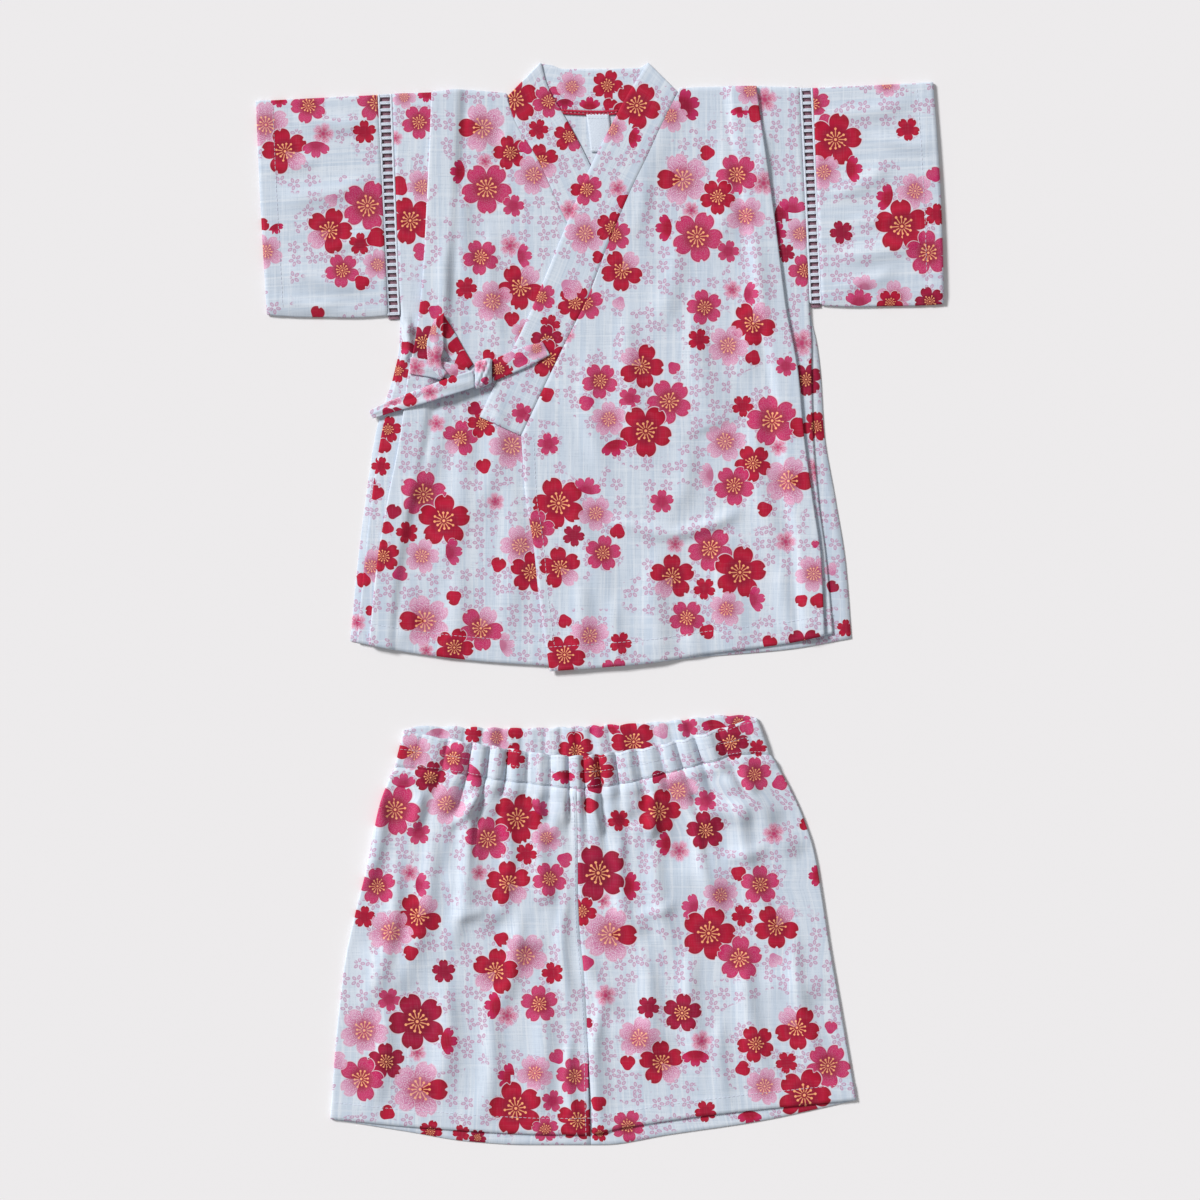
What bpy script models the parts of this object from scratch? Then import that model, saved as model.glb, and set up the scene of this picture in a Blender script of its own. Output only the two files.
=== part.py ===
"""Child's jinbei set laid flat: a wrap top with lace at the sleeves, and elastic-waist shorts.

The script builds in metres with +Z up. +X is to the right of someone who looks down on the set and
+Y is towards the neck. "Right" and "left" in names are the wearer's own, so the right sleeve is at
-X. The tables are in millimetres: x from the garment's own middle line, down from the shoulder
line of the top or from the waist of the shorts. Heights above the floor are in millimetres too.
"""
import math
from collections import namedtuple

import bmesh
import bpy
import numpy as np

MM = 0.001

# ---------------------------------------------------------------- driving dimensions, millimetres
WALL = 1.0                  # thickness of one layer of cloth
SEAM = 0.3                  # gap between neighbouring pieces
LAYER = WALL + SEAM         # from the middle of one layer to the middle of the next
BEND = LAYER / 2            # radius of the middle line of a flat fold
BEND_STEPS = 3              # straight steps round a flat fold

SHOULDER_AT = (0.0, 347.4)  # place of the top's middle line and shoulder line
WAIST_AT = (-10.2, -83.8)   # place of the shorts' middle line and waist

HEM_LEVEL = 389.0           # nominal length of the top from shoulder to hem
HEM_SWEEP_FROM = 235.0      # rows below this bend gradually into the curved hem
SHOULDER_ROW = 18.0         # rows above this bend gradually into the shoulder line

TUCK_DEPTH_SHOULDER = 15.0  # how far the shoulder tuck reaches under its fold
TUCK_DEPTH_HEM = 10.0
TUCK_SHELF = 1.5            # the upper layer stays high this far past the tuck's inner crease
RAMP = 8.0                  # run of a soft step from one layer to another
LEDGE_CLEAR = 1.5           # the over front stays high this far past what lies under it

GATHER_PITCH = 15.6         # spacing of the waist gathers
GATHER_HEIGHT = 2.1
RIDGE_HEIGHT = 1.1          # gathers on the inner face of the back waistband
BAND_CLEAR = 2.5            # underside of the front waistband above the floor
LEG_SETTLE = 0.18           # share of the leg's length over which its front sinks to rest
LONG_FOLD_RUN = 60.0
GATHER_RUN = 26.0
GATHER_RUN_SPREAD = 12.0

# ---------------------------------------------------------------- tables, millimetres
# Side lines of the top. edge: the back's outer edge, strip: the front's outer edge below the tuck,
# tuck: the fold edge of the shoulder tuck. Right ones are at -x, left ones at +x.
Side = namedtuple("Side", "down right_edge right_strip right_tuck left_tuck left_strip left_edge")
SIDES = (
    Side(0.0, -141.0, -141.0, -113.5, 112.0, 135.5, 135.5),
    Side(68.0, -138.5, -138.5, -117.0, 119.0, 138.7, 138.7),
    Side(128.0, -136.3, -136.3, -120.5, 125.0, 141.5, 141.5),
    Side(149.0, -135.5, -135.0, -124.0, 127.5, 142.0, 142.5),
    Side(171.0, -136.0, -134.5, -126.0, 131.5, 143.5, 147.0),
    Side(192.0, -140.0, -138.0, -130.5, 135.0, 143.5, 149.5),
    Side(231.0, -152.0, -148.0, -135.5, 138.5, 144.5, 152.0),
    Side(281.0, -159.0, -155.0, -144.5, 144.5, 148.0, 159.5),
    Side(331.0, -164.5, -160.0, -152.0, 150.5, 153.5, 166.5),
    Side(389.0, -169.5, -165.0, -157.0, 152.5, 158.0, 170.5),
)

# Collar band, section by section: its sewn edge, its free edge, and the layer it lies in. It runs
# from its hidden end up the right front, round the back neck and down the left front.
Band = namedtuple("Band", "seam_x seam_down free_x free_down layer")
BAND_RIGHT = (
    Band(49.0, 231.0, 79.0, 220.0, 1.0),
    Band(0.0, 132.6, 27.7, 120.0, 1.0),
    Band(-23.1, 86.4, 4.6, 74.0, 1.0),
    Band(-43.5, 42.8, -16.0, 31.0, 1.0),
    Band(-56.1, 22.4, -30.0, 6.5, 1.0),
    Band(-60.9, 10.0, -36.5, -6.0, 1.0),
    Band(-62.6, 2.0, -41.0, -20.4, 1.0),
)
BAND_NECK = (
    Band(-62.6, 2.0, -41.0, -20.4, 0.0),
    Band(-47.0, 7.5, -32.6, -18.4, 0.0),
    Band(-26.0, 12.0, -25.0, -16.0, 0.0),
    Band(0.0, 13.0, 0.0, -16.0, 0.0),
    Band(27.0, 9.5, 26.0, -16.6, 0.0),
    Band(41.0, 5.0, 31.0, -19.0, 0.0),
    Band(53.0, -0.5, 33.0, -20.4, 0.0),
)
BAND_LEFT = (
    Band(53.0, -0.5, 33.0, -20.4, 1.0),
    Band(43.5, 18.0, 17.0, 5.0, 1.6),
    Band(31.8, 43.5, 4.0, 30.0, 2.0),
    Band(20.0, 68.0, -8.0, 54.5, 2.0),
    Band(4.1, 106.1, -24.5, 95.0, 2.0),
    Band(-8.4, 138.7, -37.4, 126.5, 2.0),
    Band(-24.5, 171.4, -52.0, 160.0, 2.0),
    Band(-38.1, 199.9, -65.5, 187.0, 2.0),
    Band(-53.7, 232.9, -81.6, 220.3, 2.0),
)

# Lines of the top, each a row of (x, down) or (down, x) points as its name says.
Point = namedtuple("Point", "x down")
SHOULDER_RIGHT = (Point(-141.0, 1.0), Point(-113.0, 0.0), Point(-97.0, -1.7), Point(-64.0, 0.5))
SHOULDER_LEFT = (Point(54.0, -2.7), Point(66.0, -3.4), Point(106.0, -4.0), Point(135.5, -3.2))
HEM_BACK = (Point(-169.5, 372.6), Point(-121.0, 381.5), Point(-61.0, 387.6), Point(0.0, 390.0),
            Point(71.0, 383.0), Point(128.0, 378.0), Point(170.5, 370.6))
HEM_OVER = (Point(-33.5, 393.0), Point(28.6, 388.0), Point(71.0, 381.5), Point(128.0, 374.0),
            Point(158.0, 367.5))
NECK_CORNER_RIGHT = -63.8    # inner corners of the fronts at the shoulder line
NECK_CORNER_LEFT = 54.6
FREE_EDGE_RIGHT = (Point(48.6, 231.0), Point(34.0, 389.0))
FREE_EDGE_LEFT = (Point(-53.3, 232.9), Point(-50.5, 272.0), Point(-45.0, 305.0),
                  Point(-41.5, 338.0), Point(-34.0, 389.0))
# How far the layers below the over front reach: the right band's free edge, its end, and then the
# free edge of the right front.
LEDGE = (Point(-16.0, 31.0), Point(4.6, 74.0), Point(27.7, 120.0), Point(79.0, 220.0),
         Point(52.0, 236.0), Point(35.0, 389.0))
LABEL = (Point(-9.2, 14.8), Point(5.8, 14.6), Point(8.8, 40.1), Point(-6.1, 40.3))

ROWS_BACK = (0.0, 18.0, 68.0, 128.0, 149.0, 171.0, 192.0, 231.0, 281.0, 331.0, 389.0)
ROWS_RIGHT = (0.0, 10.0, 22.4, 42.8, 86.4, 132.6, 149.0, 171.0, 192.0, 231.0, 281.0, 331.0, 389.0)
ROWS_LEFT = (0.0, 18.0, 43.5, 68.0, 106.1, 138.7, 171.4, 199.9, 220.0, 232.9, 272.0, 305.0, 338.0,
             389.0)

# A sleeve, laid flat. lace_*: its inner edge beside the lace, cuff_*: its outer edge, each at the
# top fold and at the bottom. sag: how far the bottom edge droops between them, bow: how far the
# cuff bows out. lip_*: how far the back layer shows below the front one.
Sleeve = namedtuple("Sleeve", "name lace_top lace_bottom cuff_top cuff_bottom sag bow lip_lace lip_cuff")
SLEEVES = (
    Sleeve("sleeve_right", Point(-151.2, 1.4), Point(-144.4, 151.5), Point(-233.8, 5.6),
           Point(-226.0, 150.9), 2.0, 0.5, 0.6, 0.6),
    Sleeve("sleeve_left", Point(144.8, -3.3), Point(151.0, 144.6), Point(226.4, -7.1),
           Point(233.4, 143.6), 1.6, 1.4, 2.0, 6.6),
)
SLEEVE_STATIONS = 7
SLEEVE_COLUMNS = 5
LIP_STEP = 0.8              # height of the front layer's edge over the layer below it

# A run of ladder lace. Its corners go round from the body's side at the shoulder.
Lace = namedtuple("Lace", "name body_top body_bottom sleeve_bottom sleeve_top")
LACES = (
    Lace("lace_right", Point(-141.4, 1.2), Point(-136.0, 151.0), Point(-144.1, 151.4),
         Point(-150.9, 1.4)),
    Lace("lace_left", Point(135.9, -3.1), Point(142.6, 142.8), Point(150.7, 143.6),
         Point(144.5, -3.1)),
)
LACE_GAPS = 31
LACE_RUNG = 1.7             # width of a rung between two gaps
LACE_HEADER = 2.0           # width of the tape's edge beside the body
LACE_FOOTER = 1.5           # width of the tape's edge beside the sleeve

# A tie is a strip of cloth: its upper and lower edge and the height of its middle at each.
Tie = namedtuple("Tie", "upper_x upper_down upper_height lower_x lower_down lower_height")
TIES = {
    "tie_side": (
        Tie(-128.3, 180.2, 5.8, -129.0, 191.2, 5.8),
        Tie(-116.0, 182.2, 5.8, -117.0, 193.0, 5.8),
        Tie(-105.0, 183.4, 4.9, -106.5, 195.6, 4.9),
        Tie(-96.0, 186.0, 4.5, -97.0, 198.0, 4.5),
        Tie(-86.0, 190.4, 4.5, -86.0, 200.0, 4.5),
    ),
    "tie_loop_inner": (
        Tie(-106.4, 151.2, 5.8, -112.2, 155.6, 5.8),
        Tie(-99.7, 161.8, 3.6, -108.6, 168.0, 5.5),
        Tie(-92.2, 175.2, 3.1, -100.8, 181.2, 3.1),
        Tie(-86.4, 184.8, 3.1, -93.0, 190.6, 3.1),
    ),
    "tie_loop_outer": (
        Tie(-106.0, 150.4, 7.2, -112.2, 154.8, 7.2),
        Tie(-106.3, 163.0, 7.1, -115.0, 163.0, 7.1),
        Tie(-106.3, 173.0, 7.1, -117.2, 172.4, 7.1),
        Tie(-108.0, 181.4, 7.1, -116.4, 183.0, 7.1),
        Tie(-107.4, 186.0, 7.1, -112.8, 189.0, 7.1),
        Tie(-103.8, 191.0, 7.0, -107.6, 194.6, 7.0),
    ),
    "tie_tail": (
        Tie(-85.8, 189.0, 7.4, -85.2, 200.4, 7.4),
        Tie(-97.0, 192.8, 8.2, -97.0, 204.2, 8.2),
        Tie(-109.0, 197.0, 8.3, -107.5, 207.6, 8.3),
        Tie(-119.0, 200.6, 7.4, -117.5, 210.8, 7.4),
        Tie(-129.0, 204.4, 6.4, -128.0, 213.8, 6.4),
        Tie(-139.0, 208.4, 5.2, -138.0, 216.4, 5.2),
        Tie(-148.5, 212.6, 4.0, -147.0, 219.0, 4.0),
        Tie(-156.4, 216.6, 3.0, -154.4, 221.2, 3.0),
    ),
    "tie_front": (
        Tie(-73.0, 182.2, 5.0, -72.6, 196.2, 5.0),
        Tie(-60.5, 176.4, 4.5, -58.0, 190.2, 4.5),
        Tie(-50.0, 172.6, 4.4, -47.0, 185.4, 4.4),
        Tie(-39.0, 170.0, 4.4, -34.2, 178.4, 4.4),
    ),
}

# The knot, ring by ring along x: its middle and half sizes across the floor and upwards.
Ring = namedtuple("Ring", "x down height half_down half_height")
KNOT = (
    Ring(-84.6, 192.4, 5.8, 8.8, 2.2),
    Ring(-82.8, 192.0, 6.0, 10.8, 3.2),
    Ring(-79.0, 190.8, 6.1, 11.2, 3.5),
    Ring(-75.4, 189.8, 5.9, 9.6, 3.1),
    Ring(-73.6, 189.4, 5.4, 7.6, 2.0),
)
KNOT_SIDES = 12

# Legs of the shorts, row by row from the waist seam (0) to the hem (1): the outer fold of each
# leg and the seam between them.
Leg = namedtuple("Leg", "share right_fold middle left_fold")
LEGS = (
    Leg(0.0, -129.2, -5.6, 126.5),
    Leg(0.04, -134.0, -5.4, 132.3),
    Leg(0.10, -139.4, -5.1, 140.2),
    Leg(0.18, -143.8, -4.8, 148.7),
    Leg(0.28, -148.4, -4.8, 156.2),
    Leg(0.40, -155.6, -3.8, 161.0),
    Leg(0.55, -163.3, -0.4, 166.4),
    Leg(0.75, -168.8, 2.0, 174.5),
    Leg(1.0, -173.2, 4.1, 184.3),
)
WAIST_TOP = (-123.1, 117.0)     # ends of the waistband's top edge
WAIST_LOW = (-129.2, 125.8)     # ends of its lower edge
WAIST_FRONT_TOP = (Point(-123.1, 2.0), Point(-94.5, 7.5), Point(-52.4, 14.3), Point(-5.4, 19.4),
                   Point(36.7, 14.3), Point(76.2, 5.4), Point(117.0, -6.8))
WAIST_FRONT_LOW = (Point(-129.2, 27.2), Point(-98.6, 29.9), Point(-40.8, 38.1), Point(-5.4, 41.5),
                   Point(22.4, 38.8), Point(84.3, 23.8), Point(108.8, 18.6), Point(125.8, 19.0))
WAIST_BACK_TOP = (Point(-123.1, 1.4), Point(-112.0, -1.0), Point(-60.0, 0.8), Point(-10.0, 0.0),
                  Point(56.4, -4.1), Point(104.0, -8.2), Point(117.0, -6.8))
WAIST_BACK_LOW = (Point(-129.2, 27.2), Point(-60.0, 25.0), Point(0.0, 24.0), Point(60.0, 20.0),
                  Point(125.8, 19.0))
HEM_LEG_FRONT = (Point(-173.2, 265.9), Point(-110.2, 272.0), Point(-20.4, 276.6),
                 Point(4.0, 276.4), Point(22.4, 272.7), Point(86.4, 263.2), Point(184.3, 253.0))
HEM_LEG_BACK = (Point(-173.2, 266.2), Point(-120.4, 274.7), Point(-80.2, 281.2),
                Point(-40.0, 283.6), Point(11.6, 283.6), Point(56.4, 276.8), Point(116.3, 267.9),
                Point(184.3, 253.3))
LONG_FOLDS = (-71.0, 45.6, 68.7)    # where the longest folds run down from the waist
LEG_COLUMNS = 32
LEG_BACK_COLUMNS = 5
BAND_COLUMNS = 64
BAND_ROWS = 3


# ---------------------------------------------------------------- lines and sections
def layer_height(layer):
    """Height of the middle of a layer, counted from 0 for the one on the floor."""
    return WALL / 2 + layer * LAYER


def column(table, key, name, at):
    """Value of one column of a table where its key column is `at`."""
    keys = [getattr(row, key) for row in table]
    values = [getattr(row, name) for row in table]
    if keys[0] > keys[-1]:
        keys, values = keys[::-1], values[::-1]
    return float(np.interp(at, keys, values))


def down_at(line, x):
    """Distance down of a line of points at x."""
    return column(line, "x", "down", x)


def x_at(line, down):
    """Place across of a line of points at a distance down."""
    return column(line, "down", "x", down)


def smooth(share):
    """Soft step from 0 to 1."""
    share = min(max(share, 0.0), 1.0)
    return share * share * (3 - 2 * share)


def mix(first, second, share):
    """Value part of the way from the first to the second."""
    return first + (second - first) * share


def bend(centre, start, end, side):
    """Middle line of a half-turn fold between two heights, bulging to one side (+1 or -1)."""
    radius = abs(end - start) / 2
    turns = [math.pi * step / BEND_STEPS for step in range(BEND_STEPS + 1)]
    return [(centre + side * radius * math.sin(turn), mix(start, end, (1 - math.cos(turn)) / 2))
            for turn in turns]


def ramp(first, second, steps=3):
    """Points of a soft step between two (across, height) points, without the first."""
    return [(mix(first[0], second[0], step / steps), mix(first[1], second[1], smooth(step / steps)))
            for step in range(1, steps + 1)]


def offset(line, distances, ring=False):
    """A section line moved to its left by a distance for each point, with mitred corners."""
    points = np.array(line, float)
    ahead = np.roll(points, -1, axis=0) - points
    if not ring:
        ahead[-1] = ahead[-2]
    ahead /= np.linalg.norm(ahead, axis=1)[:, None]
    behind = np.roll(ahead, 1, axis=0)
    if not ring:
        behind[0] = ahead[0]
    between = ahead + behind
    between /= np.linalg.norm(between, axis=1)[:, None]
    stretch = 1 / np.maximum(np.sum(between * ahead, axis=1), 0.5)
    left = np.stack([-between[:, 1], between[:, 0]], axis=1)
    return points + left * (stretch * np.asarray(distances, float))[:, None]


# ---------------------------------------------------------------- solids
def finish(name, colour, roughness):
    """Plain Principled material of one cloth."""
    material = bpy.data.materials.new(name)
    material.use_nodes = True
    shader = material.node_tree.nodes["Principled BSDF"]
    shader.inputs["Base Color"].default_value = (*colour, 1.0)
    shader.inputs["Roughness"].default_value = roughness
    shader.inputs["Metallic"].default_value = 0.0
    return material


def add_solid(name, points, faces, origin, material):
    """One closed body from points in millimetres, moved to its garment's place."""
    mesh = bpy.data.meshes.new(name)
    shift = (origin[0], origin[1], 0.0)
    corners = [[(value + move) * MM for value, move in zip(point, shift)] for point in points]
    mesh.from_pydata(corners, [], faces)
    shape = bmesh.new()
    shape.from_mesh(mesh)
    bmesh.ops.recalc_face_normals(shape, faces=shape.faces)
    shape.to_mesh(mesh)
    shape.free()
    mesh.materials.append(material)
    solid = bpy.data.objects.new(name, mesh)
    bpy.context.scene.collection.objects.link(solid)
    return solid


def wall_faces(rows, columns, ring):
    """Faces of a wall made of two grids of points: both sides and the rims between them."""
    def corner(side, row, place):
        return (side * rows + row) * columns + place % columns

    spans = columns if ring else columns - 1
    faces = []
    for side in (0, 1):
        for row in range(rows - 1):
            for place in range(spans):
                faces.append((corner(side, row, place), corner(side, row, place + 1),
                              corner(side, row + 1, place + 1), corner(side, row + 1, place)))
    for row in (0, rows - 1):
        for place in range(spans):
            faces.append((corner(0, row, place), corner(0, row, place + 1),
                          corner(1, row, place + 1), corner(1, row, place)))
    if not ring:
        for place in (0, columns - 1):
            for row in range(rows - 1):
                faces.append((corner(0, row, place), corner(0, row + 1, place),
                              corner(1, row + 1, place), corner(1, row, place)))
    return faces


def add_wall(name, sides, origin, material, ring=False):
    """A wall from its two sides, each a list of rows of (x, y, z) points."""
    rows, columns = len(sides[0]), len(sides[0][0])
    points = [point for side in sides for row in side for point in row]
    return add_solid(name, points, wall_faces(rows, columns, ring), origin, material)


def add_lofted(name, sections, place, origin, material, ring=False, inner=None):
    """A wall round section lines. place(row, point number, across, height) puts a point in space.

    inner gives, section by section, how far the side on the left of the line, which is the inside
    of a ring that runs counter-clockwise, stands off the middle line.
    """
    outer_rows, inner_rows = [], []
    for row, line in enumerate(sections):
        half = [WALL / 2] * len(line)
        depth = inner[row] if inner else half
        outer_line = offset(line, [-value for value in half], ring)
        inner_line = offset(line, depth, ring)
        outer_rows.append([place(row, number, *point) for number, point in enumerate(outer_line)])
        inner_rows.append([place(row, number, *point) for number, point in enumerate(inner_line)])
    return add_wall(name, (outer_rows, inner_rows), origin, material, ring)


# ---------------------------------------------------------------- top: body
def side_at(name, down):
    """One of the top's side lines at a distance down."""
    return column(SIDES, "down", name, down)


def body_down(down, shoulder, hem):
    """True distance down of a nominal row, where the shoulder line and the hem bend it."""
    top_share = max(0.0, 1 - down / SHOULDER_ROW)
    hem_share = max(0.0, (down - HEM_SWEEP_FROM) / (HEM_LEVEL - HEM_SWEEP_FROM))
    return down + shoulder * top_share + (hem - HEM_LEVEL) * hem_share


def neckline():
    """Top edge of the back: the shoulders, and the neck seam one gap below the collar."""
    seam = [Point(row.seam_x, row.seam_down + SEAM + 0.1) for row in BAND_NECK]
    seam[0] = Point(seam[0].x - 0.5, seam[0].down)
    seam[-1] = Point(seam[-1].x + 0.5, seam[-1].down)
    return (*SHOULDER_RIGHT, *seam, *SHOULDER_LEFT)


def build_back(material):
    """Back of the top: one flat layer on the floor."""
    top = neckline()
    first, last = side_at("right_edge", 0.0), side_at("left_edge", 0.0)
    shares = [(point.x - first) / (last - first) for point in top]
    sides = ([], [])
    for down in ROWS_BACK:
        left, right = side_at("right_edge", down), side_at("left_edge", down)
        for side, height in zip(sides, (WALL, 0.0)):
            row = []
            for share, point in zip(shares, top):
                x = mix(left, right, share)
                row.append((x, -body_down(down, point.down, down_at(HEM_BACK, x)), height))
            side.append(row)
    add_wall("back_body", sides, SHOULDER_AT, material)


def tuck_depth(down):
    """How far the tuck reaches under its fold at a distance down."""
    return mix(TUCK_DEPTH_SHOULDER, TUCK_DEPTH_HEM, down / HEM_LEVEL)


def front_section(down, strip, tuck, inside):
    """Section of a front, from its outer edge, through the tuck's two folds, to its inner edge.

    Distances are outwards from the middle line. `inside` holds the last points, from the foot of
    the tuck's slope to the inner edge.
    """
    low, middle, high = (layer_height(layer) for layer in (1, 2, 3))
    crease = tuck - tuck_depth(down)
    shelf = (crease - TUCK_SHELF, high)
    line = [(strip, low)]
    line += bend(crease + BEND, low, middle, -1)
    line += bend(tuck - WALL / 2 - BEND, middle, high, 1)
    line += [shelf]
    line += ramp(shelf, (shelf[0] - RAMP, low))
    return line + inside


def right_edge_at(down):
    """Inner edge of the right front: beside the collar, then its free edge."""
    if down == 0.0:
        return NECK_CORNER_RIGHT
    if down < FREE_EDGE_RIGHT[0].down:
        return column(BAND_RIGHT, "seam_down", "seam_x", down) - SEAM - 0.1
    return x_at(FREE_EDGE_RIGHT, down)


def left_edge_at(down):
    """Inner edge of the left front: beside the collar, then its free edge."""
    if down == 0.0:
        return NECK_CORNER_LEFT
    if down < FREE_EDGE_LEFT[0].down:
        return column(BAND_LEFT, "seam_down", "seam_x", down) + SEAM + 0.1
    return x_at(FREE_EDGE_LEFT, down)


def build_right_front(material):
    """Under front, on the layer above the back."""
    low = layer_height(1)
    sections = []
    for down in ROWS_RIGHT:
        tuck = -side_at("right_tuck", down)
        foot = tuck - tuck_depth(down) - TUCK_SHELF - RAMP
        edge = -right_edge_at(down)
        inside = [(mix(foot, edge, share), low) for share in (0.33, 0.67, 1.0)]
        sections.append(front_section(down, -side_at("right_strip", down), tuck, inside))

    def place(row, number, across, height):
        x = -across
        shoulder = down_at(SHOULDER_RIGHT, x)
        return x, -body_down(ROWS_RIGHT[row], shoulder, down_at(HEM_BACK, x)), height

    add_lofted("front_right", sections, place, SHOULDER_AT, material)


def build_left_front(material):
    """Over front: on the back at its side, and over the right front and band at the middle."""
    low = layer_height(1)
    sections = []
    for down in ROWS_LEFT:
        tuck = side_at("left_tuck", down)
        edge = left_edge_at(down)
        high = layer_height(column(BAND_LEFT, "seam_down", "layer", down))
        ledge = max(x_at(LEDGE, down), edge) + LEDGE_CLEAR
        foot = tuck - tuck_depth(down) - TUCK_SHELF - RAMP
        middle = (mix(foot, ledge + RAMP, 0.5), low)
        inside = [middle, (ledge + RAMP, low)]
        inside += ramp((ledge + RAMP, low), (ledge, high))
        inside += [(edge, high)]
        sections.append(front_section(down, side_at("left_strip", down), tuck, inside))

    def place(row, number, across, height):
        shoulder = down_at(SHOULDER_LEFT, across)
        return across, -body_down(ROWS_LEFT[row], shoulder, down_at(HEM_OVER, across)), height

    add_lofted("front_left", sections, place, SHOULDER_AT, material)


# ---------------------------------------------------------------- top: sleeves and lace
def build_sleeve(sleeve, material):
    """A flattened tube: the back layer on the floor, the front one on it."""
    back, front = layer_height(0), layer_height(1)
    sections, shares = [], []
    for station in range(SLEEVE_STATIONS):
        share = station / (SLEEVE_STATIONS - 1)
        top = mix(sleeve.lace_top.down, sleeve.cuff_top.down, share)
        bottom = mix(sleeve.lace_bottom.down, sleeve.cuff_bottom.down, share)
        bottom += sleeve.sag * math.sin(math.pi * share)
        lip = bottom - WALL / 2 - BEND - mix(sleeve.lip_lace, sleeve.lip_cuff, share)
        line = [(mix(top + WALL / 2 + BEND, lip - 1.0, place / SLEEVE_COLUMNS),
                 mix(front, front + LIP_STEP, smooth(place / SLEEVE_COLUMNS)))
                for place in range(SLEEVE_COLUMNS + 1)]
        line += bend(bottom - WALL / 2 - BEND, front, back, 1)
        line += bend(top + WALL / 2 + BEND, back, front, -1)[:-1]
        sections.append(line)
        shares.append(share)

    def place(row, number, down, height):
        run = (down - sleeve.lace_top.down) / (sleeve.lace_bottom.down - sleeve.lace_top.down)
        inner = mix(sleeve.lace_top.x, sleeve.lace_bottom.x, run)
        outer = mix(sleeve.cuff_top.x, sleeve.cuff_bottom.x, run)
        outer += math.copysign(sleeve.bow, outer) * math.sin(math.pi * min(max(run, 0.0), 1.0))
        return mix(inner, outer, shares[row]), -down, height

    add_lofted(sleeve.name, sections, place, SHOULDER_AT, material, ring=True)


def build_lace(lace, material):
    """Both runs of a ladder-lace tape, with its gaps cut through."""
    for run, layer in (("front", 1), ("back", 0)):
        length = lace.body_bottom.down - lace.body_top.down
        pitch = (length - LACE_RUNG) / LACE_GAPS
        lines = [0.0]
        for gap in range(LACE_GAPS):
            lines += [gap * pitch + LACE_RUNG, (gap + 1) * pitch]
        lines += [length]
        points, faces = [], []
        for height in (layer_height(layer) + WALL / 2, layer_height(layer) - WALL / 2):
            for along in lines:
                share = along / length
                body = Point(*(mix(a, b, share) for a, b in zip(lace.body_top, lace.body_bottom)))
                sleeve = Point(*(mix(a, b, share)
                                 for a, b in zip(lace.sleeve_top, lace.sleeve_bottom)))
                width = abs(body.x - sleeve.x)
                for step in (0.0, LACE_HEADER / width, 1 - LACE_FOOTER / width, 1.0):
                    points.append((mix(body.x, sleeve.x, step), -mix(body.down, sleeve.down, step),
                                   height))
        rows = len(lines) - 1
        solid_cells = {(row, cell) for row in range(rows) for cell in range(3)
                       if cell != 1 or row % 2 == 0}

        def corner(side, row, cell):
            return (side * len(lines) + row) * 4 + cell

        for row, cell in sorted(solid_cells):
            ring = ((row, cell), (row, cell + 1), (row + 1, cell + 1), (row + 1, cell))
            beside = ((row - 1, cell), (row, cell + 1), (row + 1, cell), (row, cell - 1))
            faces += [tuple(corner(side, *place) for place in ring) for side in (0, 1)]
            for start, end, neighbour in zip(ring, ring[1:] + ring[:1], beside):
                if neighbour not in solid_cells:
                    faces.append((corner(0, *start), corner(0, *end),
                                  corner(1, *end), corner(1, *start)))
        add_solid(f"{lace.name}_{run}", points, faces, SHOULDER_AT, material)


# ---------------------------------------------------------------- top: collar, label, ties
def neck_fold(section, low, high, rising, outwards):
    """Sections round the fold at a neck point, from one layer of the band to the other.

    Each is (seam point, free point, facing), as band_side takes them. outwards is +1 at the left
    neck point and -1 at the right one.
    """
    seam = np.array((section.seam_x, -section.seam_down))
    free = np.array((section.free_x, -section.free_down))
    run = (free - seam) / np.linalg.norm(free - seam)
    away = np.array((run[1], -run[0])) * outwards
    if away[0] * outwards < 0:
        away = -away
    middle, radius = (low + high) / 2, (high - low) / 2
    found = []
    for step in range(BEND_STEPS + 1):
        turn = math.pi * step / BEND_STEPS
        if not rising:
            turn = math.pi - turn
        reach = away * (radius * math.sin(turn) - radius - WALL / 2)
        height = middle - radius * math.cos(turn)
        facing = np.array((*(away * math.sin(turn)), -math.cos(turn)))
        found.append(((*(seam + reach), height), (*(free + reach), height), facing))
    return found


def flat_sections(rows, facing):
    """Sections of a flat stretch of the band, with its outer face up (+1) or down (-1)."""
    return [((row.seam_x, -row.seam_down, layer_height(row.layer)),
             (row.free_x, -row.free_down, layer_height(row.layer)),
             np.array((0.0, 0.0, facing))) for row in rows]


def build_collar(material):
    """The collar band: one strip, folded over at both neck points."""
    low, high = layer_height(0), layer_height(1)
    sections = flat_sections(BAND_RIGHT[:-1], 1.0)
    sections += neck_fold(BAND_RIGHT[-1], low, high, False, -1)
    sections += flat_sections(BAND_NECK[1:-1], -1.0)
    sections += neck_fold(BAND_LEFT[0], low, high, True, 1)
    sections += flat_sections(BAND_LEFT[1:], 1.0)
    sides = []
    for sign in (1, -1):
        sides.append([[tuple(np.array(point) + sign * WALL / 2 * facing) for point in (seam, free)]
                      for seam, free, facing in sections])
    add_wall("collar", sides, SHOULDER_AT, material)


def build_label(material):
    """Blank label on the inside of the back neck."""
    sides = []
    for height in (layer_height(1) + WALL / 2, layer_height(1) - WALL / 2):
        corners = [(point.x, -point.down, height) for point in LABEL]
        sides.append([[corners[0], corners[1]], [corners[3], corners[2]]])
    add_wall("label", sides, SHOULDER_AT, material)


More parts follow.
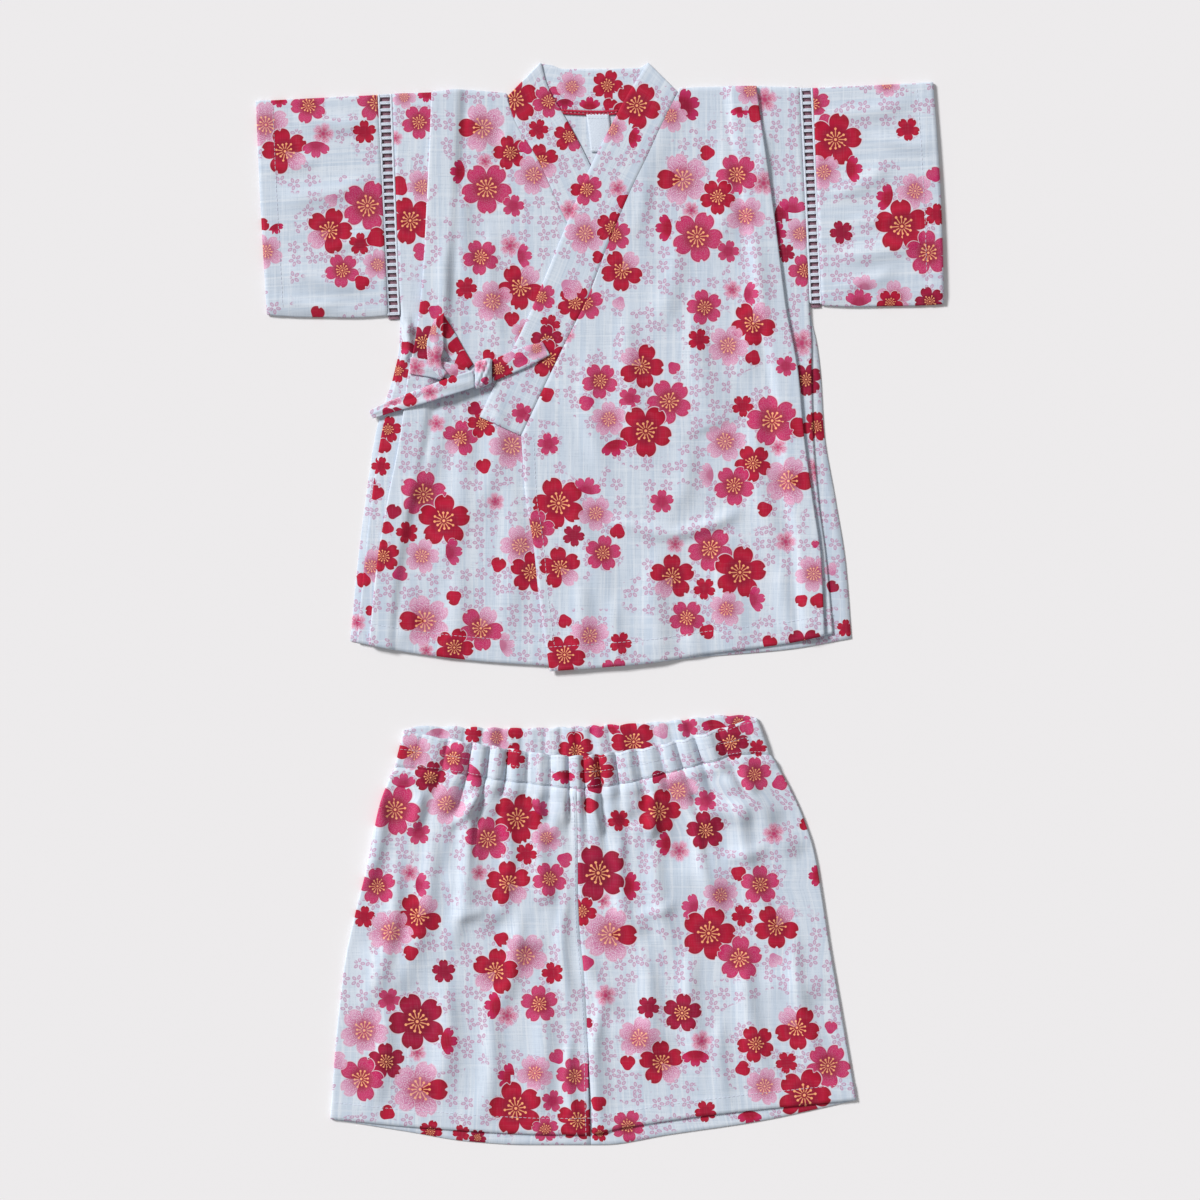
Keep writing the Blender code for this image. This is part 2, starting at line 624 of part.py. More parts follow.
def build_ties(material):
    """The strips of the bow and its knot."""
    for name, rows in TIES.items():
        sides = []
        for rise in (WALL / 2, -WALL / 2):
            sides.append([[(row.upper_x, -row.upper_down, row.upper_height + rise),
                           (row.lower_x, -row.lower_down, row.lower_height + rise)]
                          for row in rows])
        add_wall(name, sides, SHOULDER_AT, material)
    points = []
    for ring in KNOT:
        for side in range(KNOT_SIDES):
            turn = 2 * math.pi * side / KNOT_SIDES
            points.append((ring.x, -ring.down + ring.half_down * math.cos(turn),
                           ring.height + ring.half_height * math.sin(turn)))
    faces = [tuple(range(KNOT_SIDES)), tuple(range(len(points) - KNOT_SIDES, len(points)))]
    for row in range(len(KNOT) - 1):
        for side in range(KNOT_SIDES):
            after = (side + 1) % KNOT_SIDES
            faces.append((row * KNOT_SIDES + side, row * KNOT_SIDES + after,
                          (row + 1) * KNOT_SIDES + after, (row + 1) * KNOT_SIDES + side))
    add_solid("tie_knot", points, faces, SHOULDER_AT, material)


# ---------------------------------------------------------------- shorts
def gather(place):
    """Height of the waist gathers at a place across the waist, from 0 to 1."""
    phase = place / GATHER_PITCH + 0.18 * math.sin(place / 31) + 0.10 * math.sin(place / 13)
    swell = 0.75 + 0.25 * math.sin(place / 21 + 1)
    window = max(0.0, 1 - (abs(place) / 122) ** 8)
    return window * swell * (0.5 - 0.5 * math.cos(2 * math.pi * phase))


def gather_fade(place, down):
    """How much of a gather is left at a distance below the waist seam."""
    run = GATHER_RUN + GATHER_RUN_SPREAD * math.sin(place / 17 + 0.7)
    for fold in LONG_FOLDS:
        run = max(run, LONG_FOLD_RUN * math.exp(-((place - fold) / 9) ** 2))
    return math.exp(-(down / run) ** 2)


def leg_x(name, share):
    """One of the legs' side lines at a share of their length."""
    return column(LEGS, "share", name, share)


def build_leg(name, side, material):
    """A leg: from the centre front, round its outer fold, to the centre back.

    side is -1 for the leg at -X and +1 for the other. Distances run outwards from the middle.
    """
    fold_name = "right_fold" if side < 0 else "left_fold"
    back = layer_height(0)
    sections, weights, length = [], [], 240.0
    for row in LEGS:
        seam = side * row.middle + SEAM / 2 + 0.05
        fold = side * getattr(row, fold_name)
        rest = mix(BAND_CLEAR + WALL / 2, layer_height(1), smooth(row.share / LEG_SETTLE))
        radius = (rest - back) / 2
        turn = fold - WALL / 2 - radius
        line = []
        for number in range(LEG_COLUMNS + 1):
            share = number / LEG_COLUMNS
            waist = side * mix(side * LEGS[0].middle, side * getattr(LEGS[0], fold_name), share)
            height = GATHER_HEIGHT * gather(waist) * gather_fade(waist, row.share * length)
            line.append((mix(seam, turn, share), rest + height))
        line += bend(turn, rest, back, 1)[1:]
        line += [(mix(turn, seam, number / LEG_BACK_COLUMNS), back)
                 for number in range(1, LEG_BACK_COLUMNS + 1)]
        sections.append(line)
    fronts = LEG_COLUMNS + 1
    weights = [1.0] * fronts
    weights += [1 - smooth(step / BEND_STEPS) for step in range(1, BEND_STEPS + 1)]
    weights += [0.0] * LEG_BACK_COLUMNS

    def place(row, number, across, height):
        x = side * across
        share = LEGS[row].share
        waist = mix(WAIST_LOW[0], WAIST_LOW[1], (x - leg_x("right_fold", share))
                    / (leg_x("left_fold", share) - leg_x("right_fold", share)))
        front = mix(down_at(WAIST_FRONT_LOW, waist) + SEAM, down_at(HEM_LEG_FRONT, x), share)
        rear = mix(down_at(WAIST_BACK_LOW, waist) + SEAM, down_at(HEM_LEG_BACK, x), share)
        return x, -mix(rear, front, weights[number]), height

    add_lofted(name, sections, place, WAIST_AT, material)


def build_waistband(material):
    """Gathered ring with its front run raised in waves over the back one."""
    back, rest = layer_height(0), BAND_CLEAR + WALL / 2
    radius = (rest - back) / 2
    sections, depths = [], []
    steps = [number / BAND_COLUMNS for number in range(BAND_COLUMNS + 1)]
    for row in range(BAND_ROWS):
        share = row / (BAND_ROWS - 1)
        left = mix(WAIST_TOP[0], WAIST_LOW[0], share) + WALL / 2 + radius
        right = mix(WAIST_TOP[1], WAIST_LOW[1], share) - WALL / 2 - radius
        waist = [mix(WAIST_LOW[0], WAIST_LOW[1], step) for step in steps]
        line = [(mix(left, right, step), back) for step in steps]
        line += bend(right, back, rest, 1)[1:-1]
        line += [(mix(left, right, step), rest + GATHER_HEIGHT * gather(place))
                 for step, place in reversed(list(zip(steps, waist)))]
        line += bend(left, rest, back, -1)[1:-1]
        sections.append(line)
        ridges = [WALL / 2 + RIDGE_HEIGHT * gather(place + GATHER_PITCH / 3) for place in waist]
        depths.append(ridges + [WALL / 2] * (len(line) - len(ridges)))
    bends = BEND_STEPS - 1
    weights = [0.0] * (BAND_COLUMNS + 1)
    weights += [smooth((step + 1) / BEND_STEPS) for step in range(bends)]
    weights += [1.0] * (BAND_COLUMNS + 1)
    weights += [1 - smooth((step + 1) / BEND_STEPS) for step in range(bends)]

    def place(row, number, x, height):
        share = row / (BAND_ROWS - 1)
        front = mix(down_at(WAIST_FRONT_TOP, x), down_at(WAIST_FRONT_LOW, x), share)
        rear = mix(down_at(WAIST_BACK_TOP, x), down_at(WAIST_BACK_LOW, x), share)
        return x, -mix(rear, front, weights[number]), height

    add_lofted("waistband", sections, place, WAIST_AT, material, ring=True, inner=depths)


# ---------------------------------------------------------------- the set
def clear_scene():
    """Remove every object of the open scene."""
    for item in list(bpy.data.objects):
        bpy.data.objects.remove(item, do_unlink=True)


def build_set():
    """Both garments, piece by piece."""
    clear_scene()
    cotton = finish("printed_cotton", (0.80, 0.55, 0.62), 0.85)
    lace = finish("ladder_lace", (0.82, 0.84, 0.88), 0.8)
    tape = finish("label_tape", (0.75, 0.80, 0.84), 0.6)
    build_back(cotton)
    build_right_front(cotton)
    build_left_front(cotton)
    for sleeve in SLEEVES:
        build_sleeve(sleeve, cotton)
    for run in LACES:
        build_lace(run, lace)
    build_collar(cotton)
    build_label(tape)
    build_ties(cotton)
    build_leg("leg_right", -1, cotton)
    build_leg("leg_left", 1, cotton)
    build_waistband(cotton)


build_set()
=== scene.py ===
"""Looks of a child's jinbei set laid flat: a wrap top with ladder lace, and gathered shorts.

Lengths in the tables are millimetres: x from the garment's own middle line, down from the shoulder
line of the top or from the waist of the shorts, heights above the floor. "Right" and "left" are the
wearer's own, so the right sleeve lies at -X. Every cloth is a thin shell with its creases and hems
modelled, and the blossoms printed on it are placed one by one.
"""
from __future__ import annotations

import logging
import math
from dataclasses import dataclass, field
from enum import Enum
from typing import Callable, NamedTuple, Sequence

import bpy
import numpy as np
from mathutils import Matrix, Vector


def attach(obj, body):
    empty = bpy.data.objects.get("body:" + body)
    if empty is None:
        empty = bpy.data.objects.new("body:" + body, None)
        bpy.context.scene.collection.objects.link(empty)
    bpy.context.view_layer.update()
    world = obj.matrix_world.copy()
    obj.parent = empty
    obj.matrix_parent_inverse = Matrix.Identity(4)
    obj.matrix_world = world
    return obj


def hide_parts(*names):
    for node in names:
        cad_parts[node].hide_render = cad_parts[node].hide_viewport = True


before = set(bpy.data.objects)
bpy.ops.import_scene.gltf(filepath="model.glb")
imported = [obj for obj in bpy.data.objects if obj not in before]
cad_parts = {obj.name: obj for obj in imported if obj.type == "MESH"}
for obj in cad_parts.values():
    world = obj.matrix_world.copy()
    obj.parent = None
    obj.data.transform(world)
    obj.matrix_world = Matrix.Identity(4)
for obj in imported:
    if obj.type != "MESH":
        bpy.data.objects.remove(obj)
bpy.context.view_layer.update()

MM = 0.001
WALL = 1.0                  # wall of the solids that the shells lie in
CLOTH = 0.8                 # thickness of one layer of cloth
LAYER = 1.3                 # from the middle of one layer to the middle of the next
BEND = LAYER / 2            # radius of the middle line of a flat fold
BEND_STEPS = 8
CELL = 2.3                  # usual side of a mesh cell
SHOULDER_AT = (0.0, 347.4)
WAIST_AT = (-10.2, -83.8)
UNDER_TUCK = 1000.0         # how much further out the blossoms under a tuck are charted
BACK_BAND = 1000.0          # how much higher those on the back of the waistband are charted
FOLD_DEPTH = 1.45           # depth of the creases over their nominal one
CREASE_BOW = 0.06           # how far a crease bows out, as a share of its length
HEM_RISE = 0.3              # extra thickness of a turned hem
LIFT = 0.1                  # height of a stitch's middle over the cloth's face

Grid = np.ndarray
log = logging.getLogger("jinbei")


class Point(NamedTuple):
    """A place on a garment laid flat."""

    x: float
    down: float


class Side(NamedTuple):
    """Side lines of the top at one distance down."""

    down: float
    right_edge: float
    right_strip: float
    right_tuck: float
    left_tuck: float
    left_strip: float
    left_edge: float


class Band(NamedTuple):
    """One section of the collar band: its sewn edge, its free edge and its layer."""

    seam_x: float
    seam_down: float
    free_x: float
    free_down: float
    layer: float


class Tie(NamedTuple):
    """One section of a tie: its upper and lower edge, with the height of the cloth's middle."""

    upper_x: float
    upper_down: float
    upper_height: float
    lower_x: float
    lower_down: float
    lower_height: float


class Leg(NamedTuple):
    """Side lines of the shorts at a share of the way from the waist seam to the hem."""

    share: float
    right_fold: float
    middle: float
    left_fold: float


class Crease(NamedTuple):
    """A soft fold from one place to another: a ridge, or a trough where height is negative."""

    x0: float
    down0: float
    x1: float
    down1: float
    width: float
    height: float


class Tone(Enum):
    """Ink of a printed blossom, as its place on the ink scales."""

    DARK = 0.1
    CRIMSON = 0.3
    MAGENTA = 0.5
    PALE = 0.7
    MAUVE = 0.9


class Form(Enum):
    """Shape of a printed blossom: the share of its petals that is drawn, and their half width."""

    BLOSSOM = (1.0, 0.375)
    MINI = (1.1, 0.37)
    HALF = (0.6, 0.4)
    PETAL = (0.2, 0.42)
    BLUR = (1.6, 0.38)


@dataclass(frozen=True)
class Bloom:
    """One printed blossom. Its first petal points along turn, and may be of another ink."""

    x: float
    down: float
    radius: float
    tone: Tone
    form: Form = Form.BLOSSOM
    turn: float | None = None
    odd: Tone | None = None

    def heading(self) -> float:
        """Direction of the first petal in radians, counter-clockwise from +x.

        Returns:
            The turn that was given, or one that follows from the place.
        """
        if self.turn is not None:
            return math.radians(self.turn)
        return (self.x * 0.61 + self.down * 0.37) % (2 * math.pi)


FAN_SQUEEZE = 1.36              # how much closer the petals of a half blossom stand
CUP = (2.4, 1.5)                # how much smaller its round back is, along and across
CUP_RIM = 1.2                   # and the scale of that back's outline
D, C, M, P, V = Tone.DARK, Tone.CRIMSON, Tone.MAGENTA, Tone.PALE, Tone.MAUVE
FULL, MINI, HALF, PETAL, BLUR = Form.BLOSSOM, Form.MINI, Form.HALF, Form.PETAL, Form.BLUR


# ---------------------------------------------------------------- lines and numbers
def entries(kind: type, *values: tuple) -> tuple:
    """A table of one kind of row, from each row's values."""
    return tuple(kind(*row) for row in values)


def smooth(share: Grid | float) -> Grid:
    """Soft step from 0 to 1 at any place along it."""
    share = np.clip(share, 0.0, 1.0)
    return share * share * (3 - 2 * share)


def mix(first: Grid | float, second: Grid | float, share: Grid | float) -> Grid | float:
    """Value part of the way from the first to the second."""
    return first + (second - first) * share


def layer_height(layer: float) -> float:
    """Height of the middle of a layer, counted from 0 for the one on the floor."""
    return WALL / 2 + layer * LAYER


def curve_at(keys: Sequence[float], values: Sequence[float], at: Grid | float) -> Grid:
    """Smooth curve through values at rising keys, without overshoot.

    Args:
        keys: Rising keys.
        values: Value at each key.
        at: Where to read the curve; it stays level past its ends.

    Returns:
        The curve's values at those places.
    """
    keys = np.asarray(keys, float)
    values = np.asarray(values, float)
    at = np.clip(np.asarray(at, float), keys[0], keys[-1])
    slopes = np.diff(values) / np.diff(keys)
    tangents = np.empty_like(values)
    tangents[0] = slopes[0]
    tangents[-1] = slopes[-1]
    turning = slopes[:-1] * slopes[1:] <= 0
    means = 2 * slopes[:-1] * slopes[1:] / np.where(turning, 1.0, slopes[:-1] + slopes[1:])
    tangents[1:-1] = np.where(turning, 0.0, means)
    span = np.clip(np.searchsorted(keys, at, side="right") - 1, 0, len(keys) - 2)
    run = keys[span + 1] - keys[span]
    t = (at - keys[span]) / run
    return ((2 * t**3 - 3 * t**2 + 1) * values[span] + (t**3 - 2 * t**2 + t) * run * tangents[span]
            + (3 * t**2 - 2 * t**3) * values[span + 1] + (t**3 - t**2) * run * tangents[span + 1])


def column(table: Sequence[NamedTuple], key: str, name: str, at: Grid | float) -> Grid:
    """Smooth values of one column of a table where its key column is `at`.

    Args:
        table: Rows with rising or falling keys.
        key: Name of the key column.
        name: Name of the column to read.
        at: Where to read it.

    Returns:
        The values there.
    """
    keys = [getattr(row, key) for row in table]
    values = [getattr(row, name) for row in table]
    if keys[0] > keys[-1]:
        keys, values = keys[::-1], values[::-1]
    return curve_at(keys, values, at)


def down_at(line: Sequence[Point], x: Grid | float) -> Grid:
    """Distance down of a line of points at x."""
    return column(line, "x", "down", x)


def x_at(line: Sequence[Point], down: Grid | float) -> Grid:
    """Place across of a line of points at a distance down."""
    return column(line, "down", "x", down)


def steps(length: float, cell: float = CELL) -> int:
    """Number of cells that fit a length."""
    return max(2, int(round(length / cell)))


def bend(centre: float, start: float, end: float, side: int) -> list[tuple[float, float]]:
    """Half-turn fold of a section line between two heights.

    Args:
        centre: Place across of the fold's middle.
        start: Height where the fold begins.
        end: Height where it ends.
        side: +1 or -1, the way in which it bulges.

    Returns:
        Points of (across, height), both ends included.
    """
    radius = abs(end - start) / 2
    turns = [math.pi * step / BEND_STEPS for step in range(BEND_STEPS + 1)]
    return [(centre + side * radius * math.sin(turn), mix(start, end, (1 - math.cos(turn)) / 2))
            for turn in turns]


def run(first: tuple[float, float], second: tuple[float, float], count: int,
        soft: bool = False) -> list[tuple[float, float]]:
    """Points from one (across, height) to another, without the first.

    Args:
        first: Where the run starts.
        second: Where it ends.
        count: Number of cells.
        soft: Whether the height changes in a soft step.

    Returns:
        The points after the first.
    """
    shares = [step / count for step in range(1, count + 1)]
    return [(mix(first[0], second[0], share),
             mix(first[1], second[1], float(smooth(share)) if soft else share)) for share in shares]


def relief(creases: Sequence[Crease], x: Grid, down: Grid) -> Grid:
    """Height of listed soft folds over a grid of places.

    Args:
        creases: The folds.
        x: Places across.
        down: Places down, the same shape.

    Returns:
        Height of the cloth above its plain form, in millimetres.
    """
    total = np.zeros_like(x)
    for crease in creases:
        along = np.array((crease.x1 - crease.x0, crease.down1 - crease.down0), float)
        length = float(np.hypot(*along))
        along /= length
        run_x, run_down = x - crease.x0, down - crease.down0
        share = (run_x * along[0] + run_down * along[1]) / length
        bow = CREASE_BOW * length * np.sin(np.pi * np.clip(share, 0, 1)) * math.copysign(1, along[0])
        off = run_x * along[1] - run_down * along[0] + bow
        taper = smooth((share + 0.12) / 0.4) * smooth((1.12 - share) / 0.4)
        width = crease.width * (0.75 + 0.4 * np.clip(share, 0, 1))
        total += crease.height * taper * np.exp(-(off / width) ** 2)
    return FOLD_DEPTH * total


# ---------------------------------------------------------------- finishes
Feed = "Wire | bpy.types.NodeSocket | float | tuple"


def tint(red: int, green: int, blue: int) -> tuple[float, float, float, float]:
    """Linear colour of a dye given on the 0 to 255 scale of a colour card.

    Args:
        red: Share of red.
        green: Share of green.
        blue: Share of blue.

    Returns:
        The colour with an alpha of 1.
    """
    parts = [value / 255 for value in (red, green, blue)]
    linear = [part / 12.92 if part <= 0.04045 else ((part + 0.055) / 1.055) ** 2.4 for part in parts]
    return (*linear, 1.0)


def _reckoned(operation: str, swapped: bool = False) -> Callable[[Wire, Feed], Wire]:
    """A method that adds a Math node of a wire and another value.

    Args:
        operation: The node's operation.
        swapped: Whether the other value comes first.

    Returns:
        The method.
    """
    def reckon(self: Wire, other: Feed) -> Wire:
        """The node's output."""
        return self.wires.math(operation, *((other, self) if swapped else (self, other)))
    return reckon


class Wire:
    """One output of a node, which can be reckoned with like a number."""

    def __init__(self, wires: Wires, socket: bpy.types.NodeSocket) -> None:
        """Stand for a socket of a tree."""
        self.wires, self.socket = wires, socket

    __add__ = _reckoned("ADD")
    __sub__, __rsub__ = _reckoned("SUBTRACT"), _reckoned("SUBTRACT", True)
    __mul__, __truediv__ = _reckoned("MULTIPLY"), _reckoned("DIVIDE")
    __lt__, __gt__ = _reckoned("LESS_THAN"), _reckoned("GREATER_THAN")
    least, most = _reckoned("MINIMUM"), _reckoned("MAXIMUM")


class Wires:
    """Short ways to add nodes to one tree and join them."""

    def __init__(self, tree: bpy.types.NodeTree) -> None:
        """Work on a tree."""
        self.tree = tree

    def feed(self, node: bpy.types.Node, values: dict[int | str, Feed]) -> None:
        """Link inputs of a node to other outputs, or set their values.

        Args:
            node: The node.
            values: What each input takes, by its number or name.
        """
        for name, value in values.items():
            value = getattr(value, "socket", value)
            if isinstance(value, bpy.types.NodeSocket):
                self.tree.links.new(value, node.inputs[name])
            else:
                node.inputs[name].default_value = value

    def node(self, kind: str, values: dict[int | str, Feed] | None = None,
             **settings: object) -> bpy.types.Node:
        """A new node.

        Args:
            kind: Its type.
            values: What its inputs take.
            settings: Its settings, made before its inputs are fed.

        Returns:
            The node.
        """
        made = self.tree.nodes.new(kind)
        for name, value in settings.items():
            setattr(made, name, value)
        self.feed(made, values or {})
        return made

    def add(self, kind: str, values: dict[int | str, Feed] | None = None, out: int | str = 0,
            **settings: object) -> Wire:
        """One output of a new node."""
        return Wire(self, self.node(kind, values, **settings).outputs[out])

    def math(self, operation: str, *values: Feed, clamp: bool = False) -> Wire:
        """Result of a Math node."""
        return self.add("ShaderNodeMath", dict(enumerate(values)), operation=operation, use_clamp=clamp)

    def vector(self, operation: str, *values: Feed) -> Wire:
        """Result of a Vector Math node."""
        out = "Value" if operation == "LENGTH" else "Vector"
        return self.add("ShaderNodeVectorMath", dict(enumerate(values)), out, operation=operation)

    def split(self, vector: Feed) -> list[Wire]:
        """The three parts of a vector."""
        return [Wire(self, part) for part in self.node("ShaderNodeSeparateXYZ", {0: vector}).outputs]

    def join(self, *parts: Feed) -> Wire:
        """A vector from its parts."""
        return self.add("ShaderNodeCombineXYZ", dict(enumerate(parts)))

    def polar(self, x: Feed, y: Feed) -> tuple[Wire, Wire]:
        """Distance and direction of a place."""
        return self.vector("LENGTH", self.join(x, y)), self.math("ARCTAN2", y, x)

    def sector(self, radius: Wire, angle: Wire, half: float) -> tuple[Wire, Wire]:
        """Place along and across the nearest of some equal sectors.

        Args:
            radius: Distance from the centre.
            angle: Direction from it.
            half: Half the angle of a sector.

        Returns:
            The distance along the sector's middle line, and the distance across it.
        """
        turned = self.math("WRAP", angle, half, -half)
        return radius * self.math("COSINE", turned), radius * self.math("SINE", turned)

    def mix(self, share: Feed, first: Feed, second: Feed) -> Wire:
        """Colour part of the way from the first to the second."""
        return self.add("ShaderNodeMix", {0: share, 6: first, 7: second}, 2, data_type="RGBA")

    def step(self, value: Feed, low: float, high: float, to: float = 1.0) -> Wire:
        """Soft step from 0 at low to `to` at high, where low may be the larger."""
        return self.add("ShaderNodeMapRange", {"Value": value, "From Min": low, "From Max": high,
                                               "To Max": to}, interpolation_type="SMOOTHSTEP")

    def scale_of(self, share: Feed, colours: Sequence[tuple]) -> Wire:
        """One of several colours, in equal parts of a scale from 0 to 1.

        Args:
            share: Place on the scale.
            colours: The colours, from 0 up.

        Returns:
            The colour at that place.
        """
        made = self.node("ShaderNodeValToRGB", {0: share})
        made.color_ramp.interpolation = "CONSTANT"
        stops = made.color_ramp.elements
        while len(stops) < len(colours):
            stops.new(1.0)
        for number, colour in enumerate(colours):
            stops[number].position = number / len(colours)
            stops[number].color = colour
        return Wire(self, made.outputs[0])

    def noise(self, vector: Feed, scale: float, detail: float = 2.0, rough: float = 0.5,
              **settings: object) -> Wire:
        """Noise value at a vector."""
        return self.add("ShaderNodeTexNoise", {"Vector": vector, "Scale": scale, "Detail": detail,
                                               "Roughness": rough}, "Fac", **settings)

    def bump(self, height: Feed, strength: float, depth: float) -> Wire:
        """Normal of a surface with a fine relief."""
        return self.add("ShaderNodeBump", {"Strength": strength, "Distance": depth, "Height": height})


def new_material(name: str) -> tuple[bpy.types.Material, Wires, bpy.types.Node]:
    """A material with its Principled shader.

    Args:
        name: Name of the finish.

    Returns:
        The material, its wires and its Principled node.
    """
    material = bpy.data.materials.new(name)
    material.use_nodes = True
    return material, Wires(material.node_tree), material.node_tree.nodes["Principled BSDF"]


@dataclass(frozen=True)
class BlossomInk:
    """How one blossom is printed: five notched petals, their inks and the stamens."""

    heart: tuple = (tint(126, 4, 40), tint(142, 6, 44), tint(150, 6, 50), tint(172, 24, 80),
                    tint(172, 14, 74))
    petal: tuple = (tint(160, 12, 58), tint(180, 12, 52), tint(190, 20, 92), tint(200, 106, 152),
                    tint(196, 48, 110))
    tip: tuple = (tint(142, 6, 38), tint(156, 6, 34), tint(196, 30, 92), tint(224, 162, 194),
                  tint(216, 134, 176))
    stamen: tuple = tint(246, 170, 118)
    loose: float = 0.3          # a share of petals below this is a loose petal
    blurred: float = 1.3        # one above this is a blurred blossom
    reach: float = 0.6          # middle of a petal, as a share of the blossom's radius
    half_length: float = 0.42
    notch: float = 0.6
    stamens: int = 12
    anther: float = 0.055
    filament: float = 0.018
    soft_cover: float = 0.95    # how strongly a blurred blossom is printed
    stipple: float = 22.0
    grain: tuple = tint(240, 224, 236)
    outline: tuple = tint(232, 224, 232)
    blush: tuple = tint(206, 50, 116)   # petals of a half blossom, towards their tips

    def group(self) -> bpy.types.NodeTree:
        """Node group that prints one blossom.

        Returns:
            A group from place, ink and petal width to the blossom's colour and cover.
        """
        tree = bpy.data.node_groups.new("blossom_ink", "ShaderNodeTree")
        for name, way, kind in (("Place", "INPUT", "Vector"), ("Ink", "INPUT", "Vector"),
                                ("Width", "INPUT", "Float"), ("Colour", "OUTPUT", "Color"),
                                ("Cover", "OUTPUT", "Float")):
            tree.interface.new_socket(name, in_out=way, socket_type=f"NodeSocket{kind}")
        wires = Wires(tree)
        given = wires.node("NodeGroupInput").outputs
        x, y, _ = wires.split(given["Place"])
        tone, odd, keep = wires.split(given["Ink"])
        fan = wires.math("COMPARE", keep, Form.HALF.value[0], 0.05)
        alone = wires.math("COMPARE", keep, Form.BLOSSOM.value[0], 0.05)
        lone, soft = keep < self.loose, keep > self.blurred
        crisp = 1.0 - soft
        radius, angle = wires.polar(x, y)
        angle = angle * (fan * (FAN_SQUEEZE - 1) + 1.0)
        away = wires.math("ABSOLUTE", angle)
        cup = wires.vector("LENGTH", wires.join(x * CUP[0] - 1.0, y * CUP[1]))
        cup = cup + (1.0 - fan * (away > 0.4 * math.pi)) * 9.0
        edge = self._petals(wires, radius, angle, given["Width"], lone).least(cup)
        drawn = (away < keep * math.pi).most(cup < CUP_RIM)
        cover = (wires.step(edge, 1.24, 1.12) * drawn * crisp
                 + wires.step(edge, 1.9, 0.2, self.soft_cover) * soft)
        ink = tone + (away < math.pi / 5) * (odd - tone)
        heart, petal, tip = (wires.scale_of(ink, inks) for inks in (self.heart, self.petal, self.tip))
        strength = wires.math("MULTIPLY_ADD", ink, 2.4, -1.1, clamp=True)
        full = crisp * (1.0 - strength)
        stipple = wires.noise(wires.join(x, y), self.stipple, 1.0, noise_dimensions="2D")
        grains = wires.step(stipple, 0.48, 0.6, 0.85) * strength * wires.step(radius, 0.3, 0.6)
        colour = wires.mix(wires.step(radius, 0.66, 0.98, 0.8), petal, tip)
        for share, layer in (
                (wires.step(radius, 0.74, 0.3) * (1.0 - lone) * (alone * 0.45 + 0.55), heart),
                (wires.step(radius, 0.4, 0.95, 0.55) * fan * (ink < 0.6), self.blush),
                (grains, self.grain),
                (wires.step(edge, 0.7, 0.96, 0.5) * full, heart),
                (self._stamens(wires, radius, angle) * alone, self.stamen),
                (wires.step(edge, 0.98, 1.08, 0.8) * full, self.outline)):
            colour = wires.mix(share, colour, layer)
        cover = cover * (1.0 - strength * crisp * 0.25)
        wires.node("NodeGroupOutput", {"Colour": colour, "Cover": cover})
        return tree

    def _petals(self, wires: Wires, radius: Wire, angle: Wire, width: Feed, lone: Wire) -> Wire:
        """Distance scale of the petals' outline.

        Args:
            wires: The group's wires.
            radius: Distance from the blossom's root.
            angle: Direction from it.
            width: Half width of a petal.
            lone: 1 on a loose petal, which has no heart.

        Returns:
            The scale, below 1 inside the petals.
        """
        along, across = wires.sector(radius, angle, math.pi / 5)
        length = (along - self.reach) / self.half_length
        side = across / ((along * 0.5 + 0.7) * width)
        cut = (wires.step(wires.math("ABSOLUTE", across), 0.1, 0.0, self.notch)
               * wires.step(along, 0.72, 1.0))
        return (length * length + side * side + cut).least(radius * 2.8 + lone * 9.0)

    def _stamens(self, wires: Wires, radius: Wire, angle: Wire) -> Wire:
        """Where the filaments and their dots are printed.

        Args:
            wires: The group's wires.
            radius: Distance from the blossom's root.
            angle: Direction from it.

        Returns:
            The pattern, 0 to 1.
        """
        pitch = 2 * math.pi / self.stamens
        number = wires.math("ROUND", angle / pitch)
        _, across = wires.sector(radius, angle, pitch / 2)
        beyond = radius - (wires.math("SINE", number * 2.4) * 0.07 + 0.35)
        thread = wires.step(wires.math("ABSOLUTE", across), self.filament * 1.4, self.filament * 0.6, 0.85)
        thread = thread * wires.step(beyond, 0.01, -0.01) * wires.step(radius, 0.09, 0.15)
        dot = wires.step(wires.vector("LENGTH", wires.join(beyond, across)), self.anther,
                         self.anther * 0.7)
        return wires.step(radius, 0.065, 0.045).most(thread).most(dot)


